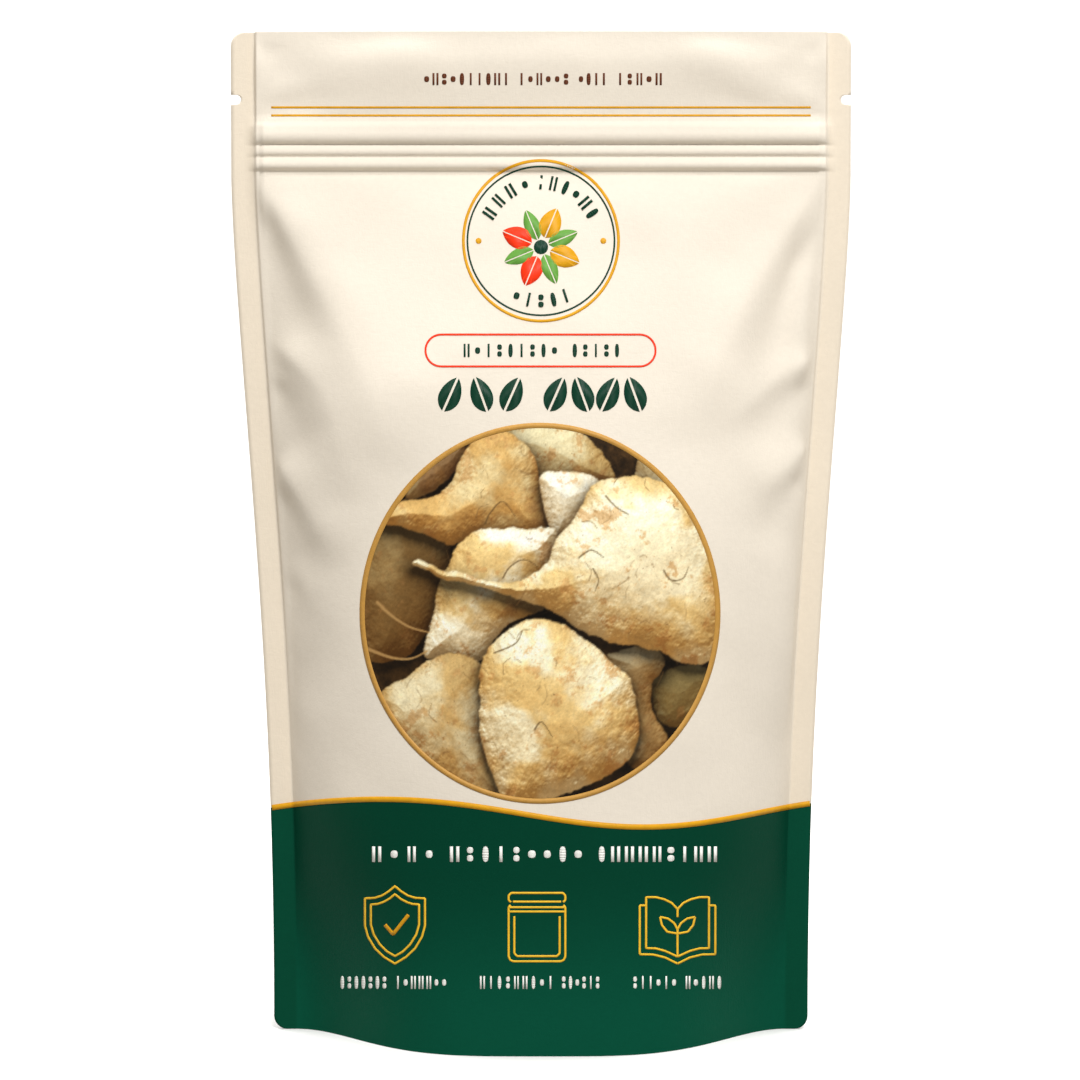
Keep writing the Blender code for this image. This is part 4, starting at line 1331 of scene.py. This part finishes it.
def picture_ink():
    """Reads the vertex colours, with a little print grain between them."""
    made, tree, surface = shader("ink_picture")
    colour = put(tree, "ShaderNodeAttribute", (), attribute_name="picture").outputs["Color"]
    place = on_object(tree)
    grain = between(tree, noise(tree, place, 2200.0, 4.0, 0.7), 0.25, 0.75, 0.90, 1.07)
    set_tone(tree, surface, colour, grain)
    set_bump(tree, surface, noise(tree, place, 1300.0), 0.1)
    surface.inputs["Roughness"].default_value = 0.42
    surface.inputs["Specular IOR Level"].default_value = 0.08
    return made


ink_piece("root_picture", picture_sheet(), SHEETS, picture_ink(), thick=0)
frame_path = ring(OVAL, (OVAL_HALF[0] + FRAME_OUT, OVAL_HALF[1] + FRAME_OUT), 240)
ink_piece("picture_frame", drawing_curve("frame", [frame_path], True), STROKES, FRAME_GOLD,
          Width=FRAME_WIDTH * MM, Lift=INK_LIFT + 0.02 * MM)
print(len(PRINTS), "prints so far")

# %% [markdown]
# ## The back print
# The back carries the same wave and header lines. The rest is a guess in the same hand: a row of leaves, a
# framed panel of paragraph rows made of the same bars and beans, and two short rows on the green foot.

# %% The back print
def behind(name, paths, closed, tree, ink, **settings):
    """A piece of ink on the back film."""
    return ink_piece(name, drawing_curve(name, paths, closed), tree, ink, back_film, **settings)


def paragraph(left, right, heights, step, seed):
    """Word paths that fill rows from left to right."""
    chance = np.random.default_rng(seed)
    words = []
    for height in heights:
        place = left
        while place < right - 3 * step:
            count = int(min(chance.integers(3, 9), (right - place) // step))
            words.append([(place + step * (index + 0.5), height) for index in range(count)])
            place += step * (count + 1)
    return words


behind("back_wave_line", [wave_line], False, STROKES, GOLD, Width=WAVE_WIDTH)
behind("back_header_lines", header_paths, False, STROKES, GOLD, Width=0.36 * MM)
back_leaves = []
for index in range(5):
    back_leaves += title_leaf(index, (8.0 * (index - 2), 163.0))
behind("back_leaves", back_leaves, True, FILLS, DARK_GREEN)
back_frames = [rounded_box((0.0, 112.0), 45.0, 37.0, 4.0), rounded_box((0.0, 112.0), 43.6, 35.6, 3.0)]
behind("back_frame", back_frames, True, STROKES, FRAME_GOLD, Width=0.4 * MM)
back_rules = [[(-36, height), (36, height)] for height in (128, 101)]
behind("back_rule", back_rules, False, STROKES, RED, Width=0.3 * MM)
# Each paragraph: its rows' heights in mm, and its seed.
PARAGRAPHS = (((142, 137, 132), 21), ((123, 118, 113, 108), 22), ((95.5, 90.5, 85.5, 80.5), 23))
back_words = [word for rows, seed in PARAGRAPHS for word in paragraph(-37, 37, rows, 1.75, seed)]
foot_words = paragraph(-24, 24, (37, 31), 2.0, 25)
for name, words, ink, size, seed in (
    ("back_words", back_words, DARK_GREEN, 2.1, 24),
    ("back_foot_words", foot_words, OFF_WHITE, 2.5, 26),
):
    behind(name, words, False, MARKS, ink, Marks=MARK_SHAPES, Size=size * MM, Aspect=0.9, Seed=seed)
print(len(PRINTS), "prints in all")

# %% [markdown]
# ## Finishes of the pieces inside
# The zip's two tapes are clear-white plastic with a faint draw grain. The seeds are dry brown coats with
# darker blotches and a fine wrinkle. Film hides them all, so the CAD's own meshes are enough, and only
# their material slots are filled: one function gives both finishes, because both are two tones and a bump.

# %% Zip plastic and seed coat
def grained(name, tones, scale, stretch, rough, strength, shine):
    """A finish blended from two tones by noise, with a fine bump stretched along one axis."""
    made, tree, surface = shader(name)
    place = on_object(tree)
    blotch = between(tree, noise(tree, place, scale, 3.0, 0.6), 0.35, 0.65)
    tree.links.new(blend_colours(tree, blotch, *tones), surface.inputs["Base Color"])
    drawn = put(tree, "ShaderNodeMapping", [("Vector", place), ("Scale", stretch)]).outputs[0]
    set_bump(tree, surface, noise(tree, drawn, 8.0 * scale, 3.0), strength)
    tree.links.new(between(tree, blotch, 0.0, 1.0, rough - 0.05, rough + 0.05), surface.inputs["Roughness"])
    surface.inputs["Specular IOR Level"].default_value = shine
    return made


PLASTIC_TONES = ((0.86, 0.86, 0.84), (0.78, 0.78, 0.76))
SEED_TONES = ((0.40, 0.22, 0.09), (0.22, 0.105, 0.040))
zip_plastic = grained("zip_plastic_clear", PLASTIC_TONES, 90.0, (0.08, 1.0, 1.0), 0.30, 0.12, 0.45)
seed_coat = grained("seed_coat_brown", SEED_TONES, 320.0, (1.0, 1.0, 0.5), 0.50, 0.30, 0.35)
dressed = 0
for node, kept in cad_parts.items():
    finish = zip_plastic if node.startswith("zip_") else seed_coat if node.startswith("seed_") else None
    for place in kept.material_slots if finish else ():
        place.material = finish
        dressed += 1
print(dressed, "slots dressed")

# %% [markdown]
# ## Floor, light and camera
# A white sweep, a soft key light high in front and a little to the right, a strip over the sweep, and two
# washes on its back, so that it stays white. A white floor also throws light up into the hollow under every
# lobe and fold, and the film then looks flat. So the sweep is hidden from diffuse rays: it is seen, and
# shows the pouch's shadow, but it lights nothing, and a weak warm world is the only fill. The camera is a
# long lens level with the upper half of the pouch, so its sides keep their real taper.
# The floor's bounce onto the green foot is painted into the film's colour instead, as painted light.

# %% The sweep: a floor that curves up behind the pouch
SWEEP_HALF = 1.1
SWEEP_FRONT = -0.45
SWEEP_TURN = 1.3
SWEEP_RADIUS = 0.7
SWEEP_TOP = 2.6
SWEEP_STEPS = 16

profile = [(SWEEP_FRONT, 0.0), (SWEEP_TURN, 0.0)]
for step in range(1, SWEEP_STEPS + 1):
    angle = math.radians(90.0 * step / SWEEP_STEPS)
    profile.append((SWEEP_TURN + SWEEP_RADIUS * math.sin(angle), SWEEP_RADIUS * (1.0 - math.cos(angle))))
profile.append((SWEEP_TURN + SWEEP_RADIUS, SWEEP_TOP))
sweep_mesh = bpy.data.meshes.new("sweep")
sweep_places = [(x, y, z) for y, z in profile for x in (-SWEEP_HALF, SWEEP_HALF)]
sweep_faces = [(2 * row, 2 * row + 1, 2 * row + 3, 2 * row + 2) for row in range(len(profile) - 1)]
sweep_mesh.from_pydata(sweep_places, [], sweep_faces)
sweep_mesh.shade_smooth()
sweep = show("sweep", sweep_mesh)
sweep_paint, _, sweep_surface = shader("sweep_paint")
sweep_surface.inputs["Base Color"].default_value = (0.97, 0.97, 0.97, 1.0)
sweep_surface.inputs["Roughness"].default_value = 0.9
sweep_surface.inputs["Specular IOR Level"].default_value = 0.0
sweep_mesh.materials.append(sweep_paint)
sweep.visible_diffuse = False
print("sweep", len(sweep_faces), "faces")

# %% Lights
# Each light: its place, what it aims at, its width and height in metres, and its power in watts.
LIGHTS = (
    ("key", (0.21, -0.79, 0.98), (0.0, 0.0, 0.11), (0.34, 0.34), 11.4),
    ("over_sweep", (0.0, 0.20, 1.5), (0.0, 0.20, 0.0), (1.8, 0.4), 14.0),
    ("sweep_wash_left", (-1.2, 0.9, 1.9), (-0.3, 1.9, 0.3), (1.2, 1.2), 20.0),
    ("sweep_wash_right", (1.2, 0.9, 1.9), (0.3, 1.9, 0.3), (1.2, 1.2), 20.0),
)
for name, place, aim, size, power in LIGHTS:
    light = bpy.data.lights.new(name, "AREA")
    light.shape = "RECTANGLE"
    light.size, light.size_y = size
    light.energy = power
    lamp = show(name, light)
    lamp.location = place
    lamp.rotation_euler = (Vector(aim) - Vector(place)).to_track_quat("-Z", "Y").to_euler()
world = bpy.data.worlds.new("studio")
world.use_nodes = True
background = world.node_tree.nodes["Background"]
background.inputs["Color"].default_value = (1.0, 0.94, 0.86, 1.0)
background.inputs["Strength"].default_value = 0.43
bpy.context.scene.world = world
bpy.context.scene.view_settings.view_transform = "Standard"
print(len(LIGHTS), "lights")

# %% Camera
CAMERA_PLACE = (-0.2 * MM, -EYE_DISTANCE, EYE_HEIGHT)
CAMERA_TILT = 1.86
LENS = 94.9

camera_data = bpy.data.cameras.new("camera")
camera_data.lens = LENS
camera_data.sensor_width = 36.0
camera = show("camera", camera_data)
camera.location = CAMERA_PLACE
camera.rotation_euler = (math.radians(90.0 - CAMERA_TILT), 0.0, 0.0)
bpy.context.scene.camera = camera
print("camera at", CAMERA_PLACE)

# %% [markdown]
# ## Thickness, bodies and size
# The sheets get the film's real gauge last, because ink is laid on their outer faces. Solidify could grow
# them either way: growing inwards keeps the ink on the outside and the box as it is. Each film then takes
# the place of its CAD node.

# %% Film gauge, and which CAD node each piece stands for
for film, node, finish in (
    (front_film, "front_panel", "printed_film"),
    (back_film, "back_panel", "printed_film"),
    (bottom_film, "bottom_gusset", "gusset_film"),
):
    gauge = film.modifiers.new("gauge", "SOLIDIFY")
    gauge.thickness = FILM
    gauge.offset = -1.0
    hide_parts(node)
    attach(film, "root")
for print_piece in PRINTS:
    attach(print_piece, "root")
print("films", FILM / MM, "mm thick")
